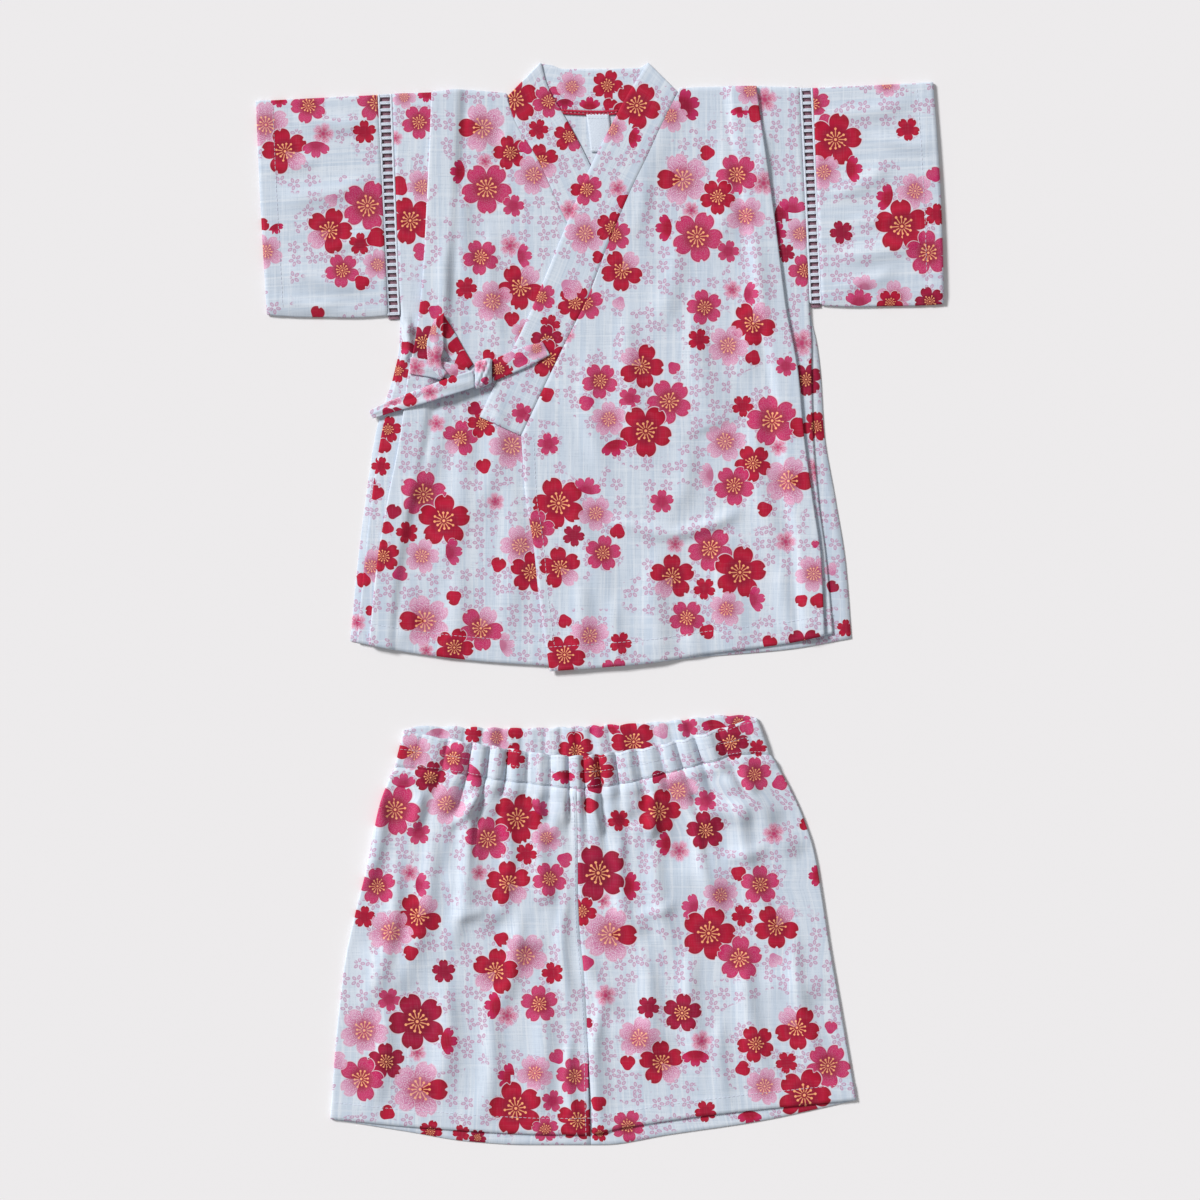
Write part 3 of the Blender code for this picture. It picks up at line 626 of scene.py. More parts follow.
@dataclass(frozen=True)
class PrintedCotton:
    """Slubbed cotton, pale blue with whiter stripes, small line blossoms and large ones."""

    blue: tuple = tint(194, 206, 221)
    white: tuple = tint(220, 226, 234)
    thread: tuple = tint(178, 190, 206)
    line: tuple = tint(188, 138, 170)
    stripes: float = 210.0      # noise scale across the grain, per metre
    yarns: float = 420.0
    slubs: float = 1000.0
    line_pitch: float = 95.0    # small blossoms per metre
    line_patches: float = 34.0
    drop: tuple[float, float] = (0.17, 0.11)    # half sizes of a small blossom's drops
    roughness: float = 0.86
    sheen: float = 0.03

    def build(self) -> bpy.types.Material:
        """The finished material.

        Returns:
            The material, which reads the grain and the blossoms that a piece carries.
        """
        material, wires, shader = new_material("printed_cotton")
        uv = wires.add("ShaderNodeUVMap", uv_map="cloth")
        colour, weave = self._ground(wires, *wires.split(uv)[:2])
        colour = wires.mix(self._line_blossoms(wires, uv), colour, self.line)
        worn = wires.step(weave, 0.36, 0.54) * 0.03 + 0.965
        ink = BlossomInk().group()
        for layer in ("a", "b"):
            place, tones = (wires.node("ShaderNodeAttribute", attribute_name=f"bloom_{layer}_{part}")
                            for part in ("place", "ink"))
            bloom = wires.node("ShaderNodeGroup", node_tree=ink)
            wires.feed(bloom, {"Place": place.outputs["Vector"], "Ink": tones.outputs["Vector"],
                               "Width": tones.outputs["Alpha"]})
            colour = wires.mix(worn * bloom.outputs["Cover"], colour, bloom.outputs["Colour"])
        wires.feed(shader, {"Base Color": colour, "Roughness": self.roughness,
                            "Sheen Weight": self.sheen, "Specular IOR Level": 0.25,
                            "Normal": wires.bump(weave, 0.5, 0.0003)})
        return material

    def _ground(self, wires: Wires, across: Wire, along: Wire) -> tuple[Wire, Wire]:
        """The unprinted cloth.

        Args:
            wires: The material's wires.
            across: Place across the grain.
            along: Place along it.

        Returns:
            Its colour, and the height of its threads.
        """
        def yarn(short: bool, slack: float, seed: float, *kind: float) -> Wire:
            """Noise drawn out along the warp, or along the weft where short is set."""
            place = (across * slack, along) if short else (across, along * slack)
            return wires.noise(wires.join(*place, seed), *kind)

        colour = self.blue
        for noise, low, high, share in (
                (yarn(False, 0.02, 0.0, self.stripes, 1.0), 0.3, 0.7, 0.55),
                (yarn(False, 0.02, 0.2, self.yarns, 0.0), 0.54, 0.68, 0.6),
                (yarn(True, 0.03, 0.4, self.yarns, 0.0), 0.58, 0.72, 0.35)):
            colour = wires.mix(wires.step(noise, low, high, share), colour, self.white)
        warp = yarn(False, 0.07, 0.3, self.slubs, 2.0, 0.6)
        weft = yarn(True, 0.05, 0.7, self.slubs, 2.0, 0.6)
        threads = warp * 0.5 + weft * 0.5
        return wires.mix(wires.step(threads, 0.52, 0.36, 0.5), colour, self.thread), threads

    def _line_blossoms(self, wires: Wires, uv: Wire) -> Wire:
        """Small blossoms, each a ring of five drops.

        Args:
            wires: The material's wires.
            uv: Place on the cloth.

        Returns:
            Their cover.
        """
        cells = wires.node("ShaderNodeTexVoronoi", voronoi_dimensions="2D", feature="F1")
        wires.feed(cells, {"Vector": uv, "Scale": self.line_pitch, "Randomness": 0.45})
        place = wires.vector("MULTIPLY", wires.vector("SUBTRACT", uv, cells.outputs["Position"]),
                             (self.line_pitch,) * 3)
        radius, angle = wires.polar(*wires.split(place)[:2])
        turn = wires.split(cells.outputs["Color"])[0] * 6.0
        along, across = wires.sector(radius, angle + turn, math.pi / 5)
        drop = wires.vector("LENGTH", wires.join((along - 0.26) / self.drop[0], across / self.drop[1]))
        drawn = wires.step(drop, 1.12, 0.82) * wires.step(drop, 0.1, 0.7).most(0.45)
        return drawn * wires.step(wires.noise(uv, self.line_patches, 1.0), 0.46, 0.49, 0.85)


@dataclass(frozen=True)
class Thread:
    """Spun thread or a woven tape of one colour, with its fibres."""

    name: str
    colour: tuple
    shade: tuple
    roughness: float = 0.8
    fibres: float = 1800.0
    bump: float = 0.4

    def build(self) -> bpy.types.Material:
        """The finished material.

        Returns:
            The material, with its fibres.
        """
        material, wires, shader = new_material(self.name)
        fibre = wires.noise(wires.add("ShaderNodeTexCoord", out="Object"), self.fibres, 3.0, 0.6)
        colour = wires.mix(wires.step(fibre, 0.62, 0.38), self.colour, self.shade)
        wires.feed(shader, {"Base Color": colour, "Roughness": self.roughness, "Sheen Weight": 0.15,
                            "Specular IOR Level": 0.3, "Normal": wires.bump(fibre, self.bump, 0.0002)})
        return material


# ---------------------------------------------------------------- cloth shells
class Print:
    """The blossoms printed on one piece, ready to be laid on its faces."""

    margin = 2.0                # how far outside its ink a blossom still claims a face
    whole = {Form.PETAL: (2.0, 1.2), Form.HALF: (1.14, 0.55)}   # size of its whole, way back to its root
    petal_middle = 0.6          # how far out a petal's middle lies, in radii
    petal_half = (0.47, 1.3)    # half length, and half width over the inked one, that claim a face
    heart = 0.45                # size of the heart
    nowhere = 9.0               # place on a blossom where there is none
    blank = (0.0, 0.0, 0.0, 0.3)    # its inks and widths there

    def __init__(self, blooms: Sequence[Bloom]) -> None:
        """Sort the blossoms, blurred ones lowest."""
        self.blooms = sorted(blooms, key=lambda bloom: bloom.form is not Form.BLUR)

    def _placed(self, bloom: Bloom) -> tuple[float, float, float, float]:
        """Root, radius and heading of a blossom.

        Args:
            bloom: The blossom; a part of one has its root further back.

        Returns:
            Place across and down, radius and heading of the whole that it is drawn from.
        """
        heading = bloom.heading()
        grown, back = self.whole.get(bloom.form, (1.0, 0.0))
        return (bloom.x - back * bloom.radius * math.cos(heading),
                bloom.down + back * bloom.radius * math.sin(heading), grown * bloom.radius, heading)

    def _local(self, bloom: Bloom, laid: Grid) -> Grid:
        """Places on a blossom.

        Args:
            bloom: The blossom.
            laid: Places on the laid garment, across and down.

        Returns:
            The places, turned to its first petal and scaled to its radius.
        """
        x, down, radius, heading = self._placed(bloom)
        across, up = laid[..., 0] - x, down - laid[..., 1]
        cosine, sine = math.cos(heading), math.sin(heading)
        return np.stack((across * cosine + up * sine, up * cosine - across * sine), -1) / radius

    def _touched(self, bloom: Bloom, corners: Grid) -> Grid:
        """Which of some faces the ink of a blossom touches.

        Args:
            bloom: The blossom.
            corners: Laid place of each face's corners, faces by 4 by 2.

        Returns:
            Whether it touches each face.
        """
        spots = np.concatenate((corners, corners.mean(axis=1, keepdims=True)), axis=1)
        x, y = np.moveaxis(self._local(bloom, spots), -1, 0)
        extra = self.margin / self._placed(bloom)[2]
        half = bloom.form is Form.HALF
        radius, angle = np.hypot(x, y), np.arctan2(y, x) * (FAN_SQUEEZE if half else 1)
        keep, width = bloom.form.value
        sector = math.pi / 5
        turned = (angle + sector) % (2 * sector) - sector
        along, across = radius * np.cos(turned), radius * np.sin(turned)
        length, breadth = self.petal_half
        inside = ((along - self.petal_middle) / (length + extra)) ** 2 + (
            across / (breadth * width + extra)) ** 2 < 1.0
        inside |= radius < self.heart + extra
        inside &= np.abs(angle) * radius < keep * math.pi * radius + extra
        if half:
            inside |= np.hypot(x * CUP[0] - 1, y * CUP[1]) < CUP_RIM + extra * CUP[0]
        return inside.any(axis=1)

    def dress(self, mesh: bpy.types.Mesh, laid: Grid) -> None:
        """Write the two highest blossoms over each face to the mesh's attributes.

        Args:
            mesh: Mesh of the piece, all of four-cornered faces.
            laid: Laid place of each face's corners, faces by 4 by 2.
        """
        centre = laid.mean(axis=1)
        under, top = np.full((2, len(laid)), -1)
        for number, bloom in enumerate(self.blooms):
            *root, radius, _ = self._placed(bloom)
            near = np.nonzero((np.abs(centre - root) < radius + 2 * self.margin).all(axis=1))[0]
            hit = near[self._touched(bloom, laid[near])]
            under[hit] = top[hit]
            top[hit] = number
        for layer, chosen in (("a", under), ("b", top)):
            place = np.full((len(laid), 4, 3), self.nowhere)
            ink = np.zeros((len(laid), 4, 4)) + self.blank
            for number in np.unique(chosen[chosen >= 0]):
                bloom, faces = self.blooms[number], chosen == number
                place[faces, :, :2] = self._local(bloom, laid[faces])
                ink[faces] = (bloom.tone.value, (bloom.odd or bloom.tone).value, *bloom.form.value)
            for part, kind, key, values in (("place", "FLOAT_VECTOR", "vector", place),
                                            ("ink", "FLOAT_COLOR", "color", ink)):
                made = mesh.attributes.new(f"bloom_{layer}_{part}", kind, "CORNER")
                made.data.foreach_set(key, values.ravel())


def unit(vectors: Grid) -> Grid:
    """Vectors scaled to length 1."""
    return vectors / np.maximum(np.linalg.norm(vectors, axis=-1, keepdims=True), 1e-9)


def stand(name: str, data: bpy.types.ID) -> bpy.types.Object:
    """An object of a mesh, lamp or camera, at the world's origin.

    Args:
        name: Name of the object.
        data: Its mesh, lamp or camera.

    Returns:
        The object, linked to the scene.
    """
    made = bpy.data.objects.new(name, data)
    bpy.context.scene.collection.objects.link(made)
    return made


def on_floor(points: Grid, origin: tuple[float, float]) -> Grid:
    """Points of a garment in metres, with its own origin at a place on the floor."""
    return (points + (*origin, 0.0)) * MM


def mesh_object(name: str, points: Grid, faces: Grid, material: bpy.types.Material) -> bpy.types.Object:
    """A smooth mesh object.

    Args:
        name: Name of the piece.
        points: Points in metres, count by 3.
        faces: Corner numbers, count by 4.
        material: Finish of the piece.

    Returns:
        The object.
    """
    mesh = bpy.data.meshes.new(name)
    mesh.vertices.add(len(points))
    mesh.vertices.foreach_set("co", points.ravel())
    mesh.loops.add(faces.size)
    mesh.loops.foreach_set("vertex_index", faces.ravel().astype(np.int32))
    mesh.polygons.add(len(faces))
    mesh.polygons.foreach_set("loop_start", np.arange(0, faces.size, 4, dtype=np.int32))
    mesh.update(calc_edges=True)
    mesh.shade_smooth()
    mesh.materials.append(material)
    return stand(name, mesh)


@dataclass
class Shell:
    """A thin cloth round a grid of middle points, with round rims.

    middle holds rows by columns of points, laid the same places as the printer saw them and grain
    their place across and along the grain. On a ring the columns close, and laid and grain have
    one column more. The outer face is the one that looks up at the column named by up.
    """

    name: str
    middle: Grid
    laid: Grid
    grain: Grid
    ring: bool = False
    up: int = -1
    outer: Grid | float = CLOTH / 2
    inner: Grid | float = CLOTH / 2
    rim: float = 0.3

    def normals(self) -> Grid:
        """Direction in which the outer face looks, for each point.

        Returns:
            Unit vectors; `turned` says whether they had to be turned over.
        """
        if self.ring:
            across = np.roll(self.middle, -1, axis=1) - np.roll(self.middle, 1, axis=1)
        else:
            across = np.gradient(self.middle, axis=1)
        found = unit(np.cross(across, np.gradient(self.middle, axis=0)))
        self.turned = found[len(found) // 2, self.up, 2] < 0
        return -found if self.turned else found

    def outer_points(self, lift: float = 0.0) -> Grid:
        """Points of the outer face, raised by a lift."""
        return self.middle + self.normals() * (np.asarray(self.outer) + lift)[..., None]

    def _edge_loops(self) -> list[list[tuple[int, int]]]:
        """Grid places round each open edge, in order.

        Returns:
            One closed loop of (row, column) for a sheet, and two for a ring.
        """
        rows, columns = self.middle.shape[:2]
        if self.ring:
            return [[(row, place) for place in range(columns)] for row in (0, rows - 1)]
        loop = [(0, place) for place in range(columns)]
        loop += [(row, columns - 1) for row in range(1, rows)]
        loop += [(rows - 1, place) for place in range(columns - 2, -1, -1)]
        loop += [(row, 0) for row in range(rows - 2, 0, -1)]
        return [loop]

    def build(self, material: bpy.types.Material, origin: tuple[float, float],
              blooms: Print | None = None) -> bpy.types.Object:
        """The piece as an object.

        Args:
            material: Finish of the cloth.
            origin: Place of the garment's own origin on the floor.
            blooms: Blossoms printed on it, or None on a plain cloth.

        Returns:
            The object, with its grain in the UV map "cloth".
        """
        rows, columns = self.middle.shape[:2]
        normals = self.normals()
        points = [(self.middle + normals * np.broadcast_to(depth, (rows, columns))[..., None])
                  .reshape(-1, 3) for depth in (self.outer, -1 * np.asarray(self.inner))]
        spans = columns if self.ring else columns - 1
        row, place = (part.ravel() for part in np.mgrid[0:rows - 1, 0:spans])
        quad = np.stack([np.stack((row + further, place + beside), -1)
                         for further, beside in ((0, 0), (0, 1), (1, 1), (1, 0))], 1)
        number = quad[..., 0] * columns + quad[..., 1] % columns
        kept, turned = [0, 1, 2, 3], [3, 2, 1, 0]
        out_order, in_order = (turned, kept) if self.turned else (kept, turned)
        faces = [number[:, out_order], number[:, in_order] + rows * columns]
        spots = [quad[:, out_order], quad[:, in_order]]
        start = 2 * rows * columns
        for loop in self._edge_loops():
            loop = np.array(loop)
            side = 0 if self.ring else 1
            beside = np.stack((np.clip(loop[:, 0], 1, rows - 2),
                               np.clip(loop[:, 1], side, columns - 1 - side)), -1)
            edge = self.middle[loop[:, 0], loop[:, 1]]
            away = unit(edge - self.middle[beside[:, 0], beside[:, 1]])
            points.append(edge + away * self.rim)
            here = np.arange(len(loop))
            after = (here + 1) % len(loop)
            corner = loop[:, 0] * columns + loop[:, 1]
            upper = np.stack((corner[here], corner[after], start + after, start + here), 1)
            lower = np.stack((start + here, start + after, corner[after] + rows * columns,
                              corner[here] + rows * columns), 1)
            ends = loop.copy()[after]
            if self.ring:
                ends[-1, 1] = columns
            spot = np.stack((loop, ends, ends, loop), 1)
            stacked = np.concatenate(points)
            sample = stacked[upper[len(upper) // 3]]
            facing = np.cross(sample[1] - sample[0], sample[2] - sample[0])
            order = kept if facing @ away[len(upper) // 3] > 0 else turned
            faces += [upper[:, order], lower[:, order]]
            spots += [spot[:, order], spot[:, order]]
            start += len(loop)
        made = mesh_object(f"{self.name}_cloth", on_floor(np.concatenate(points), origin),
                           np.concatenate(faces), material)
        spots = tuple(np.moveaxis(np.concatenate(spots), -1, 0))
        cloth = made.data.uv_layers.new(name="cloth")
        cloth.data.foreach_set("uv", (self.grain[spots] * MM).ravel())
        if blooms is not None:
            blooms.dress(made.data, self.laid[spots])
        return made


def polylines(name: str, lines: Sequence[Grid], origin: tuple[float, float]) -> bpy.types.Object:
    """An object of bare edges that stitches are to follow.

    Args:
        name: Name of the guide.
        lines: Lines of points in millimetres.
        origin: Place of the garment's own origin on the floor.

    Returns:
        The guide, linked to the scene.
    """
    points, edges = [], []
    for line in lines:
        first = len(points)
        points += [tuple(point) for point in on_floor(line, origin)]
        edges += [(first + step, first + step + 1) for step in range(len(line) - 1)]
    mesh = bpy.data.meshes.new(name)
    mesh.from_pydata(points, edges, [])
    return stand(name, mesh)


class StitchTree:
    """Geometry Nodes that lay a stitch at even steps along every line of a guide."""

    def __init__(self) -> None:
        """Build the tree, with its sizes as named inputs."""
        self.tree = bpy.data.node_groups.new("stitches", "GeometryNodeTree")
        face = self.tree.interface
        face.new_socket("Guide", in_out="INPUT", socket_type="NodeSocketGeometry")
        self.inputs = {name: face.new_socket(name, in_out="INPUT",
                                             socket_type=f"NodeSocket{kind}").identifier
                       for name, kind in (("Pitch", "Float"), ("Length", "Float"), ("Thickness", "Float"),
                                          ("Tilt", "Float"), ("Thread", "Material"))}
        face.new_socket("Stitches", in_out="OUTPUT", socket_type="NodeSocketGeometry")
        wires = Wires(self.tree)
        given = wires.node("NodeGroupInput").outputs
        path = wires.add("GeometryNodeMeshToCurve", {"Mesh": given["Guide"]})
        places = wires.node("GeometryNodeCurveToPoints", {"Curve": path, "Length": given["Pitch"]},
                            mode="LENGTH").outputs
        ball = wires.add("GeometryNodeMeshUVSphere", {"Segments": 6, "Rings": 4, "Radius": 0.5})
        size = wires.join(given["Thickness"], given["Thickness"], given["Length"])
        shaped = wires.add("GeometryNodeTransform", {"Geometry": ball, "Scale": size})
        lean = wires.add("GeometryNodeTransform", {"Geometry": shaped,
                                                   "Rotation": wires.join(0.0, given["Tilt"])})
        laid = wires.add("GeometryNodeInstanceOnPoints", {"Points": places["Points"], "Instance": lean,
                                                          "Rotation": places["Rotation"]})
        real = wires.add("GeometryNodeRealizeInstances", {"Geometry": laid})
        dyed = wires.add("GeometryNodeSetMaterial", {"Geometry": real, "Material": given["Thread"]})
        wires.node("NodeGroupOutput", {"Stitches": dyed})

    def sew(self, name: str, lines: Sequence[Grid], origin: tuple[float, float],
            thread: bpy.types.Material, pitch: float = 3.1, length: float = 2.5,
            thickness: float = 0.34, tilt: float = 0.0) -> bpy.types.Object:
        """Stitches along lines, as a plain mesh.

        Args:
            name: Name of the piece.
            lines: Lines of points in millimetres on the cloth's face.
            origin: Place of the garment's own origin on the floor.
            thread: Finish of the thread.
            pitch: From one stitch to the next, millimetres.
            length: Length of a stitch.
            thickness: Thickness of the thread.
            tilt: Turn of each stitch away from its line, in radians.

        Returns:
            The object of all stitches.
        """
        guide = polylines(f"{name}_guide", lines, origin)
        modifier = guide.modifiers.new("stitches", "NODES")
        modifier.node_group = self.tree
        values = {"Pitch": pitch * MM, "Length": length * MM, "Thickness": thickness * MM,
                  "Tilt": tilt, "Thread": thread}
        for socket, value in values.items():
            modifier[self.inputs[socket]] = value
        depsgraph = bpy.context.evaluated_depsgraph_get()
        mesh = bpy.data.meshes.new_from_object(guide.evaluated_get(depsgraph))
        mesh.name = name
        guide.modifiers.remove(modifier)
        bpy.data.objects.remove(guide, do_unlink=True)
        mesh.shade_smooth()
        return stand(name, mesh)


# ---------------------------------------------------------------- the printed blossoms
def chart(*rows: tuple) -> tuple[Bloom, ...]:
    """Blossoms from short rows of x, down, radius, ink, form, turn and odd ink."""
    return tuple(Bloom(*row) for row in rows)


OVER_FRONT = chart(
    (56, 59, 17, P, FULL, 180, C), (93, 56, 14, M), (80, 71, 12, C), (99, 84, 13, P),
    (111, 62, 8, V, BLUR), (66, 98, 17, M), (43, 92, 9, C, HALF, 180), (62, 80, 6, V, BLUR),
    (87, 108, 7.5, M, MINI), (73, 41, 6, C, PETAL), (95, 14, 6, C, HALF, -90), (106, 15, 7, C, PETAL),
    (102, -1, 10, P), (1112, 5, 8, V, BLUR), (61, 8, 11, D, HALF, 20), (48, 16, 11, P),
    (15, 121, 14, C, FULL, 50, P), (10, 97, 11, M), (-10, 143, 12, M), (13, 143, 5, P, PETAL),
    (71, 146, 12, M), (90, 134, 6, V, BLUR), (103, 137, 8, M, HALF, 0), (104, 157, 15, C, FULL, 55, P),
    (87, 172, 13.5, P), (67, 168, 7.5, C, MINI), (104, 180, 6, C, PETAL), (126, 186, 7, M, MINI),
    (28, 186, 15, C, FULL, 140, P), (0, 196, 12, M), (50, 187, 5, M, PETAL), (20, 208, 7.5, M, MINI),
    (-9, 211, 6, M, PETAL), (-36, 205, 6, C, PETAL), (-22, 165, 5, V, BLUR), (47, 210, 15, M),
    (6, 222, 11.5, P), (31, 230, 17.5, C), (10, 242, 9, C, HALF, -70), (-35, 239, 7.5, M, MINI),
    (97, 213, 7.5, C, MINI), (117, 223, 17, M), (85, 237, 13.5, P), (104, 252, 12.5, C),
    (91, 267, 13.5, M), (121, 241, 6, V, BLUR), (128, 264, 16, P, FULL, 0, C), (136, 227, 8, C, PETAL),
    (72, 260, 8, P, HALF, 180), (112, 283, 6, C, PETAL), (42, 278, 8, M, MINI), (126, 305, 7, V, BLUR),
    (75, 310, 15, M), (95, 326, 17.5, C), (49, 329, 15, C, FULL, 235, P), (71, 337, 7.5, C, MINI),
    (86, 351, 11.5, P), (107, 344, 8.5, M, HALF, 10), (59, 357, 12, M), (73, 366, 6, C, PETAL),
    (51, 307, 6, V, BLUR), (137, 345, 5, C, PETAL), (148, 345, 6, C, PETAL), (145, 327, 12, P),
    (146, 307, 3, M, PETAL), (115, 374, 6, C, PETAL), (14, 374, 7.5, C, MINI), (-7, 369, 13, P),
    (-24, 382, 14, C), (-24, 359, 5.5, C, PETAL), (10, 394, 10, M), (-28, 279, 17.5, C),
    (-8, 267, 9, M, HALF, 70), (-3, 286, 11.5, P), (12, 298, 6, C, PETAL), (-18, 301, 7.5, D, MINI),
    (2, 313, 12, M), (-44, 297, 13, M), (-27, 323, 14, C, FULL, -45, P), (1125, 84, 10, D, HALF, 0),
    (1131, 76, 9, M, HALF, 80), (1136, 96, 11, P), (1122, 96, 8, D, HALF, 0), (1126, 109, 6.5, D, MINI),
    (1139, 121, 11, M), (1137, 170, 9, V, BLUR), (1146, 183, 5, C, PETAL), (1140, 195, 11, D),
    (1147, 227, 10, C), (1149, 256, 10, V, BLUR), (1158, 336, 5, D, PETAL), (1157, 324, 5, P, PETAL),
    (139, 378, 14, D))
UNDER_FRONT = chart(
    (-80, 24, 16, P, FULL, 180, C), (-97, 54, 8, C, HALF, 175), (-77, 65, 17, M),
    (-78, 47, 5.5, V, BLUR), (-61, 41, 11.5, C), (-50, 37, 6, M, PETAL), (-45, 56, 13, P),
    (-59, 77, 7.5, M, MINI), (-81, 112, 12, M), (-61, 104, 7, V, BLUR), (-51, 111, 8, M, HALF, 5),
    (-91, 133, 7.5, C, MINI), (-54, 132, 15.5, C, FULL, 50, P), (-73, 142, 13.5, P),
    (-60, 154, 6, C, PETAL), (-51, 163, 9, P), (-76, 179, 5, C, PETAL), (-95, 235, 12, M, FULL, 225, P),
    (-80, 225, 10, C), (-85, 215, 5.5, D, PETAL), (-111, 225, 6, V, BLUR), (-60, 240, 15, P),
    (-79, 254, 6, C, PETAL), (-120, 273, 15.5, M), (-106, 291, 17.5, C), (-99, 312, 9, M, HALF, 5),
    (-131, 299, 7.5, C, MINI), (-121, 315, 11.5, P), (-140, 285, 6, D, PETAL), (-144, 296, 5, C, PETAL),
    (-147, 315, 11, C), (-136, 327, 6, M, PETAL), (-99, 343, 6, C, PETAL), (-71, 278, 6, V, BLUR),
    (-69, 321, 6, C, PETAL), (-54, 308, 13.5, P), (-47, 326, 14, C), (-119, 359, 17, P, FULL, 180, C),
    (-81, 364, 15, M, FULL, 60, P), (-99, 377, 13, C), (-63, 375, 8, P, HALF, 10),
    (-118, 379, 5, V, BLUR), (-1123, 20, 11.5, M), (-1118, 3, 6, C, HALF, -100), (-1133, 3, 8, P),
    (-1139, 31, 5, V, BLUR), (-1121, 64, 11.5, P), (-1129, 87, 16, C), (-1137, 64, 8, C, PETAL),
    (-1121, 108, 7, M, PETAL), (-120, 146, 5.5, C, PETAL), (-112, 149, 5.5, M, PETAL),
    (-120, 170, 12, D), (-1132, 174, 7, C, HALF, -100), (-1137, 189, 8, C), (-1144, 229, 9, C),
    (-1147, 240, 6, C, PETAL), (-1149, 254, 6.5, C, MINI), (-1156, 265, 5, D, PETAL),
    (-1152, 272, 6, C, PETAL), (-1155, 322, 11.5, P), (-1161, 331, 6, C, PETAL),
    (-1156, 352, 4, C, PETAL), (-1165, 360, 6, V, BLUR))
BACK_NECK = chart(
    (-30, 60, 15, C), (30, 75, 16, M), (0, 110, 14, P), (140, 195, 11, D), (147, 227, 10, C),
    (158, 336, 5, D, PETAL), (157, 324, 5, P, PETAL), (167, 364, 6, C, MINI), (-149, 254, 6.5, C, MINI),
    (-161, 331, 6, C, PETAL), (-165, 360, 6, V, BLUR), (-137, 189, 8, C), (-90, 200, 15, M),
    (60, 240, 16, C), (-40, 300, 14, P))
COLLAR = chart(
    (-58, 5, 16, C), (-35, 6, 11, M), (-42, 25, 7, C, MINI), (-21, 30, 10.5, C, FULL, -60, M),
    (-40, 47, 12, C, FULL, -45, P), (-21, 80, 7, V, BLUR), (-19, -4, 10, P), (5, -5, 10.5, C),
    (-7, 7, 7, C, HALF, 90), (-24, 8, 6, D, HALF, -90), (7, 9, 6, C, PETAL), (25, 9, 16, C),
    (24, 31, 7, C, HALF, -10), (8, 25, 10, P), (-9, 66, 11, M, FULL, 180, C), (12, 65, 6, V, BLUR),
    (-10, 96, 13.5, P), (8, 92, 11, C), (-1, 112, 5, C, PETAL), (16, 74, 6, C, PETAL), (-17, 143, 12, C),
    (-20, 133, 8, P, PETAL), (-40, 139, 10, M), (-34, 158, 7, C, MINI), (-36, 169, 11, D),
    (-35, 181, 13, C), (-53, 218, 7, M, MINI))
TIE_CLOTH = chart(
    (-69, 188, 10, C), (-54, 182, 6, M, PETAL), (-62, 179, 5, P, PETAL), (-43, 174, 8, P),
    (-113, 162, 8, P), (-106, 155, 7, C, PETAL), (-103, 162, 6, C, PETAL), (-111, 180, 8, V, BLUR),
    (-97, 172, 7, C, PETAL), (-92, 182, 8, C, PETAL), (-101, 173, 6, V, BLUR), (-125, 187, 7, V, BLUR),
    (-101, 191, 7, P, HALF), (-129, 209, 5.5, C, PETAL), (-106, 197, 3.5, C, PETAL),
    (-100, 195, 3.5, C, PETAL), (-140, 213, 7, V, BLUR), (-115, 204, 6, V, BLUR),
    (-137, 218, 5, D, PETAL), (-144, 218, 5, D, PETAL))
KNOT_CLOTH = chart(
    (-81, 186, 5, V, BLUR), (-78, 196, 3, M, PETAL))
RIGHT_SLEEVE = chart(
    (-198, 9, 12, M), (-218, 7, 5.5, C, HALF, -90), (-227, 22, 15, P), (-214, 40, 15.5, C, FULL, -40, P),
    (-193, 39, 9, M, HALF, -90), (-188, 28, 7, V, BLUR), (-152, 7, 13, M), (-160, 27, 8, C, MINI),
    (-158, 77, 17, M), (-182, 73, 5, P, PETAL), (-184, 94, 15.5, C, FULL, 215, P),
    (-163, 103, 7.5, C, MINI), (-152, 99, 8, C, PETAL), (-151, 117, 10, P), (-175, 121, 11.5, M),
    (-162, 129, 6, C, PETAL), (-220, 93, 5.5, C, HALF, -60), (-229, 90, 5, C, PETAL),
    (-227, 108, 11.5, P), (-192, 150, 5.5, C, PETAL))
LEFT_SLEEVE = chart(
    (144, 8, 12, M), (153, 21, 7, M, PETAL), (160, 32, 17.5, C), (173, 52, 9, C, HALF, 5),
    (152, 54, 11.5, P), (209, 25, 8, C, MINI), (195, -6, 9, P), (214, 67, 12, P), (227, 56, 6, M, PETAL),
    (193, 71, 9, C, HALF, 165), (205, 91, 18, C), (228, 83, 7.5, C, MINI), (223, 109, 15, M),
    (164, 95, 8, D, MINI), (176, 139, 9, M, HALF, 90), (180, 129, 8, P, HALF, 80), (200, 140, 12, P),
    (197, 143, 9, C), (224, 142, 10, D))
